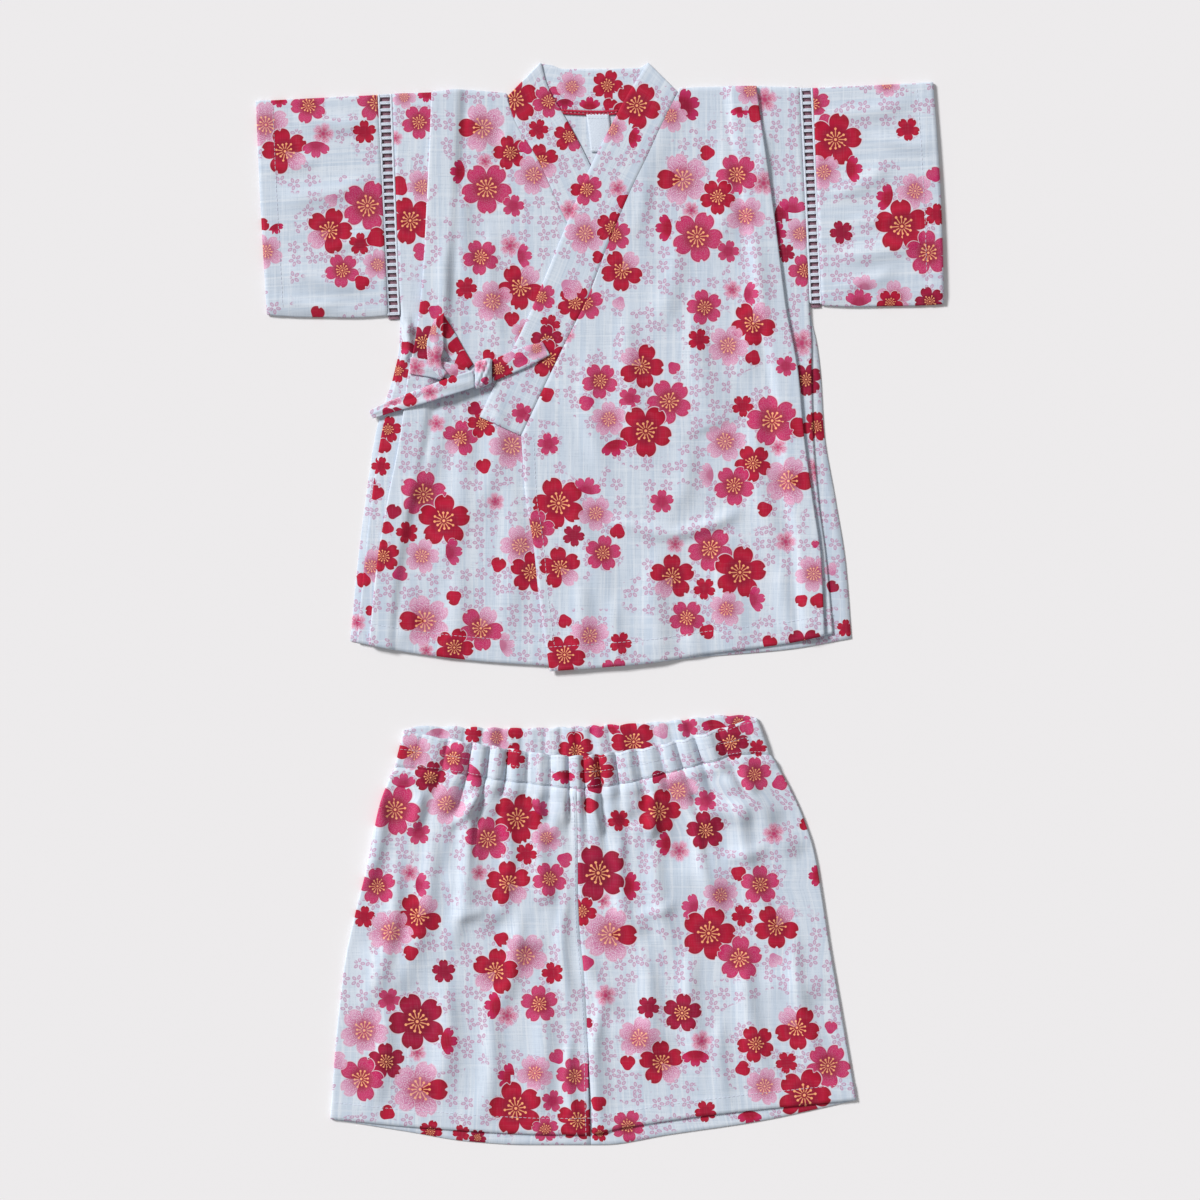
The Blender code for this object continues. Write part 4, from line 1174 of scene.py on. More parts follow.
RIGHT_LEG = chart(
    (-116, 17, 12, P, FULL, 180, C), (-89, 21, 11, M), (-105, 34, 11, D), (-129, 56, 17, M),
    (-94, 52, 13.5, P), (-113, 72, 8, M, MINI), (-123, 36, 8, M, HALF, 90), (-76, 33, 8, M, HALF, 200),
    (-48, 21, 7, C, MINI), (-14, 34, 7.5, C, HALF, -90), (-46, 62, 17, C), (-66, 76, 15, M),
    (-30, 54, 7, M, HALF, 40), (-26, 75, 10, P), (-40, 86, 7.5, C, MINI), (-14, 90, 6, M, PETAL),
    (-52, 106, 15, C, FULL, -50, P), (-24, 103, 11.5, M), (-141, 108, 12.5, M), (-119, 99, 6, V, BLUR),
    (-110, 107, 8, M, HALF, 0), (-72, 99, 5.5, V, BLUR), (-150, 129, 7.5, C, MINI),
    (-113, 128, 15.5, C, FULL, 50, P), (-132, 139, 15, P), (-118, 153, 6, C, PETAL),
    (-57, 144, 6, C, PETAL), (-41, 155, 15, P), (-61, 166, 15.5, C, FULL, 225, P),
    (-96, 166, 8, D, MINI), (-22, 167, 7.5, C, MINI), (-133, 185, 8, M, MINI), (-114, 200, 19, D),
    (-150, 206, 16, P), (-135, 227, 12.5, D), (-152, 239, 15, M, FULL, 215, P), (-114, 221, 6, V, BLUR),
    (-92, 213, 9, C, HALF, 0), (-112, 246, 18.5, P, FULL, 0, C), (-134, 262, 6, C, PETAL),
    (-168, 227, 7, P, PETAL), (-31, 188, 12.5, M), (-63, 189, 9, C, HALF, 175), (-53, 196, 7, V, BLUR),
    (-19, 224, 6, M, PETAL), (-54, 237, 9, C, HALF, 165), (-34, 235, 12, P), (-7, 237, 12.5, M),
    (-47, 259, 18, C), (-22, 254, 7.5, M, MINI), (-5, 267, 14, C), (-27, 273, 9, M), (-105, 275, 8, C),
    (-84, 276, 6, C, MINI), (-73, 279, 6, D))
LEFT_LEG = chart(
    (7, 29, 12, C), (7, 40, 6, D, PETAL), (4, 53, 6, C, PETAL), (50, 34, 6, D, PETAL), (63, 43, 13.5, P),
    (50, 57, 15, C), (53, 79, 8, C, HALF, 180), (64, 84, 7, V, BLUR), (23, 63, 7.5, C, MINI),
    (82, 50, 7.5, M, MINI), (82, 70, 13, D), (99, 10, 12, D), (110, 0, 6, M, PETAL),
    (117, 14, 6, C, MINI), (115, 32, 11.5, M), (132, 38, 6, M, PETAL), (128, 72, 7, V, BLUR),
    (150, 66, 5, C, PETAL), (156, 101, 7, C, HALF, 180), (32, 108, 9.5, C, HALF, 0),
    (104, 99, 6, C, PETAL), (119, 107, 13, M), (92, 114, 11.5, P), (71, 122, 9, M, HALF, 165),
    (107, 128, 7.5, C, MINI), (84, 140, 18, C), (130, 135, 15, C, FULL, 55, P), (105, 157, 15, M),
    (129, 158, 5.5, P, PETAL), (17, 141, 18, P, FULL, 0, C), (14, 182, 7, V, BLUR), (9, 99, 19, D),
    (12, 118, 6, V, BLUR), (-2, 125, 10, C), (1, 160, 6, M, PETAL), (43, 190, 7.5, D, MINI),
    (66, 194, 13, D), (37, 211, 14, P), (79, 213, 7, V, BLUR), (52, 228, 15, C, FULL, -50, P),
    (75, 225, 9, C, HALF, -90), (29, 228, 6, C, PETAL), (116, 215, 12.5, C),
    (144, 204, 15, C, FULL, 130, P), (167, 204, 5, M, PETAL), (137, 228, 7.5, C, MINI),
    (107, 232, 6, C, PETAL), (165, 230, 15, M), (122, 244, 12.5, P), (149, 250, 18, C),
    (82, 261, 7.5, C, MINI), (29, 271, 11, M), (9, 255, 6, C, PETAL), (2, 201, 4, D, PETAL),
    (112, 266, 8, C, HALF, -90), (10, 276, 6, C))
BACK_WAIST = chart(
    (-76, -995, 6, C, MINI), (-60, -993, 10, P), (-47, -997, 6, C, PETAL), (-48, -985, 5, C, PETAL),
    (-100, -994, 8, P, HALF), (-7, -992, 7, C, PETAL), (-6, -984, 12, C), (8, -998, 6, M, PETAL),
    (20, -999, 6, C, HALF), (33, -990, 15, C), (52, -997, 6, P, PETAL), (70, -1000, 7, M, MINI),
    (88, -999, 9, C, HALF), (104, -1003, 9, M))


# ---------------------------------------------------------------- the top
@dataclass(frozen=True)
class Finishes:
    """The materials of the set."""

    cotton: bpy.types.Material
    lace: bpy.types.Material
    # painted shade: the lace's back run, dyed darker to stand for the shadow seen through the front run's
    # gaps
    shaded_lace: bpy.types.Material
    tape: bpy.types.Material
    white: bpy.types.Material
    red: bpy.types.Material


def keep(piece: bpy.types.Object, slot: str, *nodes: str) -> bpy.types.Object:
    """Let a piece ride on the set and stand for its solids.

    Args:
        piece: The piece.
        slot: Name of its slot; not used.
        nodes: Solids of the CAD model that it replaces.

    Returns:
        The same piece.
    """
    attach(piece, "root")
    if nodes:
        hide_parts(*nodes)
    return piece


@dataclass(frozen=True)
class Tailor:
    """Cuts and sews the pieces of one garment, whose own origin has a place on the floor."""

    finishes: Finishes
    needle: StitchTree
    origin: tuple[float, float]

    def cut(self, shell: Shell, blooms: Sequence[Bloom]) -> bpy.types.Object:
        """A piece of the printed cotton, in place of the solid of its name."""
        piece = shell.build(self.finishes.cotton, self.origin, Print(blooms))
        return keep(piece, "printed_cotton", shell.name)

    def sew(self, name: str, lines: Sequence[Grid], slot: str = "printed_cotton",
            **sizes: float) -> bpy.types.Object:
        """Pale stitches along lines."""
        return keep(self.needle.sew(name, lines, self.origin, self.finishes.white, **sizes), slot)


def arc_lengths(middle: Grid) -> Grid:
    """Length along each row of a grid of points, from its first column."""
    pieces = np.linalg.norm(np.diff(middle, axis=1), axis=2)
    return np.concatenate((np.zeros((len(middle), 1)), np.cumsum(pieces, axis=1)), axis=1)


def flat(x: Grid, down: Grid) -> Grid:
    """Places on the laid garment, across and down."""
    return np.stack((x, down), -1)


def solid(x: Grid, down: Grid, height: Grid) -> Grid:
    """Points of a garment, with down along -Y."""
    return np.stack((x, -down, height), -1)


def closed(ring: Grid) -> Grid:
    """A ring's columns with the first one once more at their end."""
    return np.concatenate((ring, ring[:, :1]), axis=1)


def edge_swell(size: Grid, near: float, dip: float = 0.16, dip_width: float = 0.9) -> Grid:
    """Extra thickness beside an edge, up to a stitched line.

    Args:
        size: Distance of each point from the edge.
        near: Distance of the stitched line.
        dip: How deep the stitches pull the cloth in.
        dip_width: How far beside them.

    Returns:
        The turned hem's rise, which dips at the stitched line and ends softly past it.
    """
    return HEM_RISE * smooth((near + 1.2 - size) / 1.8) - dip * np.exp(-((size - near) / dip_width) ** 2)


@dataclass(frozen=True)
class Sleeve:
    """A sleeve laid flat: its inner edge beside the lace and its outer edge, the cuff."""

    name: str
    lace_top: Point
    lace_bottom: Point
    cuff_top: Point
    cuff_bottom: Point
    sag: float
    bow: float
    lip_lace: float
    lip_cuff: float
    blooms: tuple[Bloom, ...]
    creases: tuple[Crease, ...]
    lip_step: float = 0.8
    wave: float = 0.5           # how far its lower edge strays from a fair line
    hem: float = 10.0
    width: float = 82.0
    cells_across: int = steps(85)
    cells_down: int = steps(150)
    cells_behind: int = steps(150, 5.0)

    def shell(self) -> tuple[Shell, Grid]:
        """The sleeve's cloth, round from its front layer to its back one.

        Returns:
            The cloth, and the line of its cuff's stitches.
        """
        back, front = layer_height(0), layer_height(1)
        rows = []
        for share in np.arange(self.cells_across + 1) / self.cells_across:
            top = mix(self.lace_top.down, self.cuff_top.down, share)
            bottom = mix(self.lace_bottom.down, self.cuff_bottom.down, share)
            bottom += self.sag * math.sin(math.pi * share)
            bottom += self.wave * math.sin(7 * share + 1) * math.sin(math.pi * share)
            low = bottom - WALL / 2 - BEND
            lip = low - mix(self.lip_lace, self.lip_cuff, share)
            high = top + WALL / 2 + BEND
            line = [(high, front)]
            line += run((high, front), (lip - 1.0, front + self.lip_step), self.cells_down, soft=True)
            line += bend(low, front, back, 1)
            line += run((low, back), (high, back), self.cells_behind)
            rows.append(line + bend(high, back, front, -1)[1:-1])
        line = np.array(rows, float)
        arc = arc_lengths(closed(line))
        share = np.linspace(0, 1, self.cells_across + 1)[:, None]
        down, height = line[..., 0], line[..., 1]
        place = (down - self.lace_top.down) / (self.lace_bottom.down - self.lace_top.down)
        inner = mix(self.lace_top.x, self.lace_bottom.x, place)
        outer = mix(self.cuff_top.x, self.cuff_bottom.x, place)
        outer = outer + math.copysign(self.bow, self.cuff_top.x) * np.sin(np.pi * np.clip(place, 0, 1))
        x = mix(inner, outer, share)
        front_part = smooth((height - back) / (front - back)) * smooth(share * 12)
        lower = 1.0 - smooth((down - self.lace_bottom.down + 12) / 10) * (height < front)
        height = height + relief(self.creases, x, down) * front_part * lower
        hem = edge_swell((1 - share) * self.width, self.hem) + np.zeros_like(x)
        shell = Shell(self.name, solid(x, down, height), closed(flat(x, down)), flat(arc, closed(x)),
                      ring=True, up=self.cells_down // 2, outer=CLOTH / 2 + hem * front_part)
        cuff_row = int(round((1 - self.hem / self.width) * self.cells_across))
        return shell, shell.outer_points(0.12)[cuff_row, 2:self.cells_down - 1]


@dataclass(frozen=True)
class LadderLace:
    """A run of ladder lace between the body and a sleeve, on the front and on the back."""

    name: str
    body_top: Point
    body_bottom: Point
    sleeve_bottom: Point
    sleeve_top: Point
    gaps: int = 31
    rung: float = 1.9
    header: float = 1.3
    footer: float = 1.1
    threads: int = 4
    back_rung: float = 2.8
    cells_per_gap: int = 6
    strip_points: int = 5
    strip_half: float = 0.3     # half the thickness of a strip
    pull: float = 0.18          # depth of the dents that the rungs pull into the strips
    swell: float = 0.25         # how far a strip's middle stands above its sides
    twist: float = 0.12         # how much higher every other thread of a rung lies
    overlap: float = 1.6        # how far the rungs run into the strips
    rung_front: float = 0.8     # thickness of a rung's threads in the front run
    rung_back: float = 1.0      # and in the back one
    slack: float = 0.001        # taken off the pitch, so that the last rung still finds room

    def edges(self) -> tuple[Grid, Grid, float]:
        """Top and bottom of the edges beside the body and the sleeve, and the width between.

        Returns:
            The body's edge, the sleeve's edge and the width.
        """
        body = np.array((self.body_top, self.body_bottom), float)
        sleeve = np.array((self.sleeve_top, self.sleeve_bottom), float)
        return body, sleeve, abs(body[0, 0] - sleeve[0, 0])

    def strip(self, run_name: str, layer: float, first: float, width: float, outer: bool) -> Shell:
        """A solid edge of the tape, with the dents that its rungs pull into it.

        Args:
            run_name: Name of the piece.
            layer: Layer in which it lies.
            first: Distance of the strip from the body.
            width: Width of the strip.
            outer: Whether it is the strip beside the sleeve.

        Returns:
            The strip.
        """
        body, sleeve, whole = self.edges()
        rows = self.gaps * self.cells_per_gap + 2
        share = np.linspace(0, 1, rows)[:, None, None]
        across = np.linspace(0, 1, self.strip_points)[None, :, None]
        start, end = first / whole, (first + width) / whole
        pull = self.pull / whole * np.cos(2 * np.pi * share * self.gaps)
        inner_side = start + (pull if outer else 0.0)
        outer_side = end + (0.0 if outer else pull)
        step = mix(inner_side, outer_side, across)
        place = mix(mix(body[0], body[1], share), mix(sleeve[0], sleeve[1], share), step)
        x, down = place[..., 0], place[..., 1]
        height = layer_height(layer) + self.swell * np.sin(np.pi * across[..., 0]) + 0 * x
        return Shell(run_name, solid(x, down, height), place, place, outer=self.strip_half,
                     inner=self.strip_half, rim=0.2)

    def rung_lines(self, layer: float) -> list[Grid]:
        """Lines down the middle of the gaps' band.

        Args:
            layer: Layer in which they lie.

        Returns:
            A line for each thread of a rung.
        """
        body, sleeve, whole = self.edges()
        step = (self.header + (whole - self.header - self.footer) / 2) / whole
        top, bottom = mix(body[0], sleeve[0], step), mix(body[1], sleeve[1], step)
        along = unit(bottom - top)
        lines = []
        for thread in range(self.threads):
            share = (thread + 0.5) / self.threads
            shift = self.rung * share if layer else self.rung + self.back_rung * share
            ends = (top + along * shift, bottom + along * (shift - self.rung))
            height = layer_height(layer) + (self.twist if thread % 2 else 0.0)
            lines.append(np.array([(end[0], -end[1], height) for end in ends]))
        return lines

    def build(self, tailor: Tailor) -> list[bpy.types.Object]:
        """Both runs of the lace.

        Args:
            tailor: Tailor of the top.

        Returns:
            The pieces, front run first.
        """
        made = []
        body, _, whole = self.edges()
        length = math.hypot(*(body[1] - body[0]))
        for label, layer in (("front", 1), ("back", 0)):
            node = f"{self.name}_{label}"
            # The back run takes the darker lace finish: painted shade for the shadow seen through the front
            # run's gaps.
            thread = tailor.finishes.lace if layer else tailor.finishes.shaded_lace
            header = self.strip(node, layer, 0.0, self.header, False)
            footer = self.strip(f"{node}_footer", layer, whole - self.footer, self.footer, True)
            made.append(keep(header.build(thread, tailor.origin), "ladder_lace", node))
            made.append(keep(footer.build(thread, tailor.origin), "ladder_lace"))
            rungs = tailor.needle.sew(f"{node}_rungs", self.rung_lines(layer), tailor.origin, thread,
                                      pitch=(length - self.rung) / self.gaps - self.slack,
                                      length=whole - self.header - self.footer + self.overlap,
                                      thickness=self.rung_front if layer else self.rung_back,
                                      tilt=math.pi / 2)
            made.append(keep(rungs, "ladder_lace"))
        return made


@dataclass
class WrapTop:
    """The wrap top: back, fronts with shoulder tucks, sleeves, lace, collar, label and bow."""

    tailor: Tailor
    hem_level: float = 389.0
    hem_sweep_from: float = 235.0
    shoulder_row: float = 18.0
    tuck_depth_shoulder: float = 15.0
    tuck_depth_hem: float = 10.0
    tuck_shelf: float = 1.5
    ramp: float = 8.0
    ledge_ramp: float = 18.0
    ledge_clear: float = 1.5
    hem_stitch: float = 15.0
    edge_stitch: float = 6.0
    seam: float = 0.4
    edge_cell: float = 2.2          # side of a cell beside a front's free edge
    strip_cells: int = steps(34)    # cells of a front beneath its tuck
    tuck_cells: tuple[int, int, int] = (5, 7, 6)    # beneath, on and beside the tuck's fold
    back_rows: tuple[int, int] = (6, 112)       # rows of the back above and below the shoulder row
    front_rows: tuple[int, int] = (9, 165)      # and of both fronts
    right_cells: int = 38           # cells from the right front's fold to its inner edge
    left_cells: tuple[int, int, int] = (30, 10, 40)     # before, on and past the left front's ramp
    band_sections: int = 15         # points across the collar band
    tie_sections: int = 12          # points across a tie
    knot_rows: int = 34
    free_from: float = 234.0        # distance down of the first stitch of a free edge
    sides: tuple[Side, ...] = entries(Side,
        (0.0, -141.0, -141.0, -114.5, 106.5, 135.5, 135.5),
        (68.0, -138.5, -138.5, -117.5, 116.5, 138.7, 138.7),
        (128.0, -136.3, -136.3, -120.8, 124.2, 141.5, 141.5),
        (149.0, -135.5, -135.0, -123.0, 127.0, 142.0, 142.5),
        (171.0, -136.0, -134.5, -126.0, 131.5, 143.5, 147.0),
        (192.0, -140.0, -138.0, -130.5, 135.0, 143.5, 149.5),
        (231.0, -152.0, -148.0, -135.5, 138.5, 144.5, 152.0),
        (281.0, -159.0, -155.0, -144.5, 144.5, 148.0, 159.5),
        (331.0, -164.5, -160.0, -152.0, 150.5, 153.5, 166.5),
        (389.0, -169.5, -165.0, -157.0, 152.5, 158.0, 170.5))
    band_right: tuple[Band, ...] = entries(Band,
        (49.0, 231.0, 79.0, 220.0, 1.0), (0.0, 132.6, 27.7, 120.0, 1.0), (-23.1, 86.4, 4.6, 74.0, 1.0),
        (-43.5, 42.8, -16.0, 31.0, 1.0), (-56.1, 22.4, -30.0, 6.5, 1.0), (-60.9, 10.0, -36.5, -6.0, 1.0),
        (-62.6, 2.0, -41.0, -20.4, 1.0))
    band_neck: tuple[Band, ...] = entries(Band,
        (-62.6, 2.0, -41.0, -20.4, 0.0), (-47.0, 7.5, -32.6, -18.4, 0.0), (-26.0, 12.0, -25.0, -16.0, 0.0),
        (0.0, 13.0, 0.0, -16.0, 0.0), (27.0, 9.5, 26.0, -16.6, 0.0), (41.0, 5.0, 31.0, -19.0, 0.0),
        (53.0, -0.5, 33.0, -20.4, 0.0))
    band_left: tuple[Band, ...] = entries(Band,
        (53.0, -0.5, 33.0, -20.4, 1.0), (43.5, 18.0, 17.0, 5.0, 1.6), (31.8, 43.5, 4.0, 30.0, 2.0),
        (20.0, 68.0, -8.0, 54.5, 2.0), (4.1, 106.1, -24.5, 95.0, 2.0), (-8.4, 138.7, -37.4, 126.5, 2.0),
        (-24.5, 171.4, -52.0, 160.0, 2.0), (-38.1, 199.9, -65.5, 187.0, 2.0),
        (-53.7, 232.9, -81.6, 220.3, 2.0))
    shoulder_right: tuple[Point, ...] = entries(Point,
        (-141.0, 1.0), (-113.0, 0.0), (-97.0, -1.7), (-64.0, 0.5))
    shoulder_left: tuple[Point, ...] = entries(Point,
        (54.0, -2.7), (66.0, -3.4), (106.0, -4.0), (135.5, -3.2))
    hem_back: tuple[Point, ...] = entries(Point,
        (-169.5, 372.6), (-121.0, 381.5), (-61.0, 387.6), (0.0, 390.0), (71.0, 383.0), (128.0, 378.0),
        (170.5, 370.6))
    hem_over: tuple[Point, ...] = entries(Point,
        (-33.5, 393.0), (28.6, 388.0), (71.0, 381.5), (128.0, 374.0), (158.0, 367.5))
    neck_corner_right: float = -63.8
    neck_corner_left: float = 54.6
    free_edge_right: tuple[Point, ...] = entries(Point, (48.6, 231.0), (34.0, 389.0))
    free_edge_left: tuple[Point, ...] = entries(Point,
        (-53.3, 232.9), (-50.5, 272.0), (-45.0, 305.0), (-41.5, 338.0), (-34.0, 389.0))
    ledge: tuple[Point, ...] = entries(Point,
        (-16.0, 31.0), (4.6, 74.0), (27.7, 120.0), (79.0, 220.0), (52.0, 236.0), (35.0, 389.0))
    label: tuple[Point, ...] = entries(Point, (-9.2, 14.8), (5.8, 14.6), (8.8, 40.1), (-6.1, 40.3))
    creases: tuple[Crease, ...] = entries(Crease,
        (9, 289, 47, 300, 5.0, 1.5), (41, 301, 96, 284, 4.5, 1.7), (8, 283, 34, 291, 4.0, -0.25),
        (48, 306, 92, 293, 5.0, -0.25), (-66, 26, -58, 44, 4.0, 0.9), (-88, 14, -74, 40, 5.0, 1.0),
        (-92, 60, -86, 140, 7.0, 1.3), (-74, 94, -66, 176, 6.0, 1.1), (-105, 100, -98, 168, 5.0, 1.0),
        (-70, 205, -84, 290, 7.0, 1.4), (-92, 214, -112, 330, 8.0, 1.5), (-104, 204, -133, 286, 6.0, 1.3),
        (-64, 250, -66, 372, 7.0, 1.2), (-98, 318, -104, 384, 7.0, 1.4), (-131, 330, -138, 380, 5.0, 1.1),
        (-126, 158, -98, 178, 4.0, 1.0), (-136, 151, -127, 163, 2.6, 2.0), (-134, 160, -125, 177, 2.4, 1.9),
        (-131, 150, -133, 186, 2.4, 1.5), (-138, 170, -128, 181, 2.6, 1.7),
        (-137, 186, -129, 200, 2.6, 0.8), (30, 60, 24, 96, 6.0, 0.9), (52, 96, 40, 158, 8.0, 1.2),
        (84, 30, 78, 110, 9.0, 1.2), (104, 96, 96, 196, 8.0, 1.3), (66, 132, 76, 226, 8.0, 1.2),
        (18, 150, 34, 250, 8.0, 1.3), (-8, 178, 4, 262, 6.0, 1.0), (-30, 196, 20, 236, 5.0, 0.9),
        (-22, 262, 6, 334, 7.0, 1.2), (106, 214, 122, 316, 8.0, 1.4), (84, 300, 96, 376, 9.0, 1.3),
        (38, 314, 44, 384, 8.0, 1.3), (-14, 330, -18, 390, 7.0, 1.3), (124, 318, 132, 372, 6.0, 1.1),
        (60, 240, 54, 282, 7.0, 1.0), (110, 20, 108, 62, 5.0, 0.9), (10, 346, 14, 390, 6.0, 0.9),
        (62, 352, 66, 384, 6.0, 1.0))
    ties: dict[str, tuple[Tie, ...]] = field(default_factory=lambda: {
        "tie_side": entries(Tie,
            (-128.3, 180.2, 5.8, -129.0, 191.2, 5.8), (-116.0, 182.2, 5.8, -117.0, 193.0, 5.8),
            (-105.0, 183.4, 4.9, -106.5, 195.6, 4.9), (-96.0, 186.0, 4.5, -97.0, 198.0, 4.5),
            (-86.0, 190.4, 4.5, -86.0, 200.0, 4.5)),
        "tie_loop_inner": entries(Tie,
            (-106.4, 151.2, 5.8, -112.2, 155.6, 5.8), (-99.7, 161.8, 3.6, -108.6, 168.0, 5.5),
            (-92.2, 175.2, 3.1, -100.8, 181.2, 3.1), (-86.4, 184.8, 3.1, -93.0, 190.6, 3.1)),
        "tie_loop_outer": entries(Tie,
            (-106.0, 150.4, 7.2, -112.2, 154.8, 7.2), (-106.3, 163.0, 7.1, -115.0, 163.0, 7.1),
            (-106.3, 173.0, 7.1, -117.2, 172.4, 7.1), (-108.0, 181.4, 7.1, -116.4, 183.0, 7.1),
            (-107.4, 186.0, 7.1, -112.8, 189.0, 7.1), (-103.8, 191.0, 7.0, -107.6, 194.6, 7.0)),
        "tie_tail": entries(Tie,
            (-85.8, 189.0, 7.4, -85.2, 200.4, 7.4), (-97.0, 192.8, 8.2, -97.0, 204.2, 8.2),
            (-109.0, 197.0, 8.3, -107.5, 207.6, 8.3), (-119.0, 200.6, 7.4, -117.5, 210.8, 7.4),
            (-129.0, 204.4, 6.4, -128.0, 213.8, 6.4), (-139.0, 208.4, 5.2, -138.0, 216.4, 5.2),
            (-148.5, 212.6, 4.0, -147.0, 219.0, 4.0), (-156.4, 216.6, 3.0, -154.4, 221.2, 3.0)),
        "tie_front": entries(Tie,
            (-73.0, 182.2, 5.0, -72.6, 196.2, 5.0), (-60.5, 176.4, 4.5, -58.0, 190.2, 4.5),
            (-50.0, 172.6, 4.4, -47.0, 185.4, 4.4), (-39.0, 170.0, 4.4, -34.2, 178.4, 4.4))})
    knot: tuple[tuple[float, ...], ...] = (
        (-84.6, 192.4, 5.8, 8.0, 2.0), (-82.8, 192.0, 6.0, 9.2, 2.9), (-79.0, 190.8, 6.1, 9.4, 3.2),
        (-75.4, 189.8, 5.9, 8.6, 2.8), (-73.6, 189.4, 5.4, 7.4, 1.9))
    knot_sides: int = 48
    tie_width: float = 14.5
    knot_fold: float = 0.42     # height of the knot's creases
    tie_cell: float = 1.2
    tie_fold: float = 0.45      # height of a tie's pulled folds
    tie_puff: float = 0.35      # and how far its middle swells
    neck_tape_ends: tuple[float, float] = (-28.0, 13.5)
    cords: tuple[tuple[str, float, float], ...] = (     # name, way below the neck seam, radius
        ("neck_piping", 0.2, 0.95), ("neck_tape", 1.9, 0.8))
    cord_sections: int = 90
    cord_sides: int = 12
    cord_flat: float = 0.7      # height of a cord over its width
    label_points: tuple[int, int] = (12, 20)    # across and down the label
    label_swell: float = 0.5
    label_half: float = 0.25    # half the label's thickness
    sleeves: tuple[Sleeve, ...] = (
        Sleeve("sleeve_right", Point(-151.2, 1.4), Point(-144.4, 151.5), Point(-233.8, 5.6),
               Point(-226.0, 150.9), 2.0, 0.5, 0.6, 0.6, RIGHT_SLEEVE, entries(Crease,
               (-160, 22, -206, 16, 6, 1.1), (-158, 60, -218, 72, 7, 1.3),
               (-162, 132, -214, 118, 6, 1.2), (-156, 96, -188, 104, 5, 0.9),
               (-192, 46, -228, 50, 5, 0.8), (-176, 144, -222, 140, 4, 0.9))),
        Sleeve("sleeve_left", Point(144.8, -3.3), Point(151.0, 144.6), Point(226.4, -7.1),
               Point(233.4, 143.6), 1.6, 1.4, 2.0, 6.6, LEFT_SLEEVE, entries(Crease,
               (156, 14, 210, 6, 6, 1.1), (158, 70, 196, 50, 6, 1.2),
               (162, 112, 222, 96, 7, 1.3), (160, 132, 200, 122, 5, 1.0),
               (186, 30, 226, 36, 5, 0.9), (170, 88, 216, 78, 5, 0.8))))
    laces: tuple[LadderLace, ...] = (
        LadderLace("lace_right", Point(-141.4, 1.2), Point(-136.0, 151.0), Point(-144.1, 151.4),
                   Point(-150.9, 1.4)),
        LadderLace("lace_left", Point(135.9, -3.1), Point(142.6, 142.8), Point(150.7, 143.6),
                   Point(144.5, -3.1)))

    # ------------------------------------------------ lines of the body
    def side(self, name: str, down: float) -> float:
        """One of the side lines at a distance down."""
        return float(column(self.sides, "down", name, down))

    def tuck_depth(self, down: float) -> float:
        """How far the shoulder tuck reaches under its fold."""
        return mix(self.tuck_depth_shoulder, self.tuck_depth_hem, down / self.hem_level)

    def body_down(self, down: Grid, shoulder: Grid, hem: Grid) -> Grid:
        """True distance down of nominal rows, where the shoulder line and the hem bend them.

        Args:
            down: Nominal distance down.
            shoulder: Distance down of the shoulder line above it.
            hem: Distance down of the hem below it.

        Returns:
            The true distance.
        """
        top_share = np.maximum(0.0, 1 - down / self.shoulder_row)
        hem_share = np.maximum(0.0, (down - self.hem_sweep_from) / (self.hem_level - self.hem_sweep_from))
        return down + shoulder * top_share + (hem - self.hem_level) * hem_share

    def inner_edge(self, side: int, down: float) -> float:
        """Inner edge of a front: beside the collar, then its free edge.

        Args:
            side: -1 for the right front and +1 for the left one.
            down: Distance down.

        Returns:
            The edge's place across.
        """
        if side < 0:
            edge, corner, band = self.free_edge_right, self.neck_corner_right, self.band_right[-2::-1]
        else:
            edge, corner, band = self.free_edge_left, self.neck_corner_left, self.band_left[1:]
        if down >= edge[0].down:
            return float(x_at(edge, down))
        table = (Band(corner - side * self.seam, 0.0, 0.0, 0.0, 1.0), *band)
        return float(column(table, "seam_down", "seam_x", down)) + side * self.seam

    def left_layer(self, down: float) -> float:
        """Layer in which the over front lies at its inner edge."""
        return float(column(self.band_left, "seam_down", "layer", down))

    def tucked(self, down: float, strip: float, tuck: float) -> tuple[list, tuple[float, float]]:
        """Section of a front from its outer edge to the foot of the tuck's slope.

        Args:
            down: Distance down.
            strip: Distance of the outer edge from the middle line.
            tuck: Distance of the tuck's fold edge.

        Returns:
            The section's points of (across, height), and its last point.
        """
        low, middle, high = (layer_height(layer) for layer in (1, 2, 3))
        beneath, on, beside = self.tuck_cells
        crease = tuck - self.tuck_depth(down)
        line = [(strip, low)]
        line += run((strip, low), (crease + BEND, low), self.strip_cells)
        line += bend(crease + BEND, low, middle, -1)[1:]
        top = tuck - WALL / 2 - BEND
        line += run((crease + BEND, middle), (top, middle), beneath)
        line += bend(top, middle, high, 1)[1:]
        shelf = (crease - self.tuck_shelf, high)
        foot = (shelf[0] - self.ramp, low)
        line += run((top, high), shelf, on)
        line += run(shelf, foot, beside, soft=True)
        return line, foot

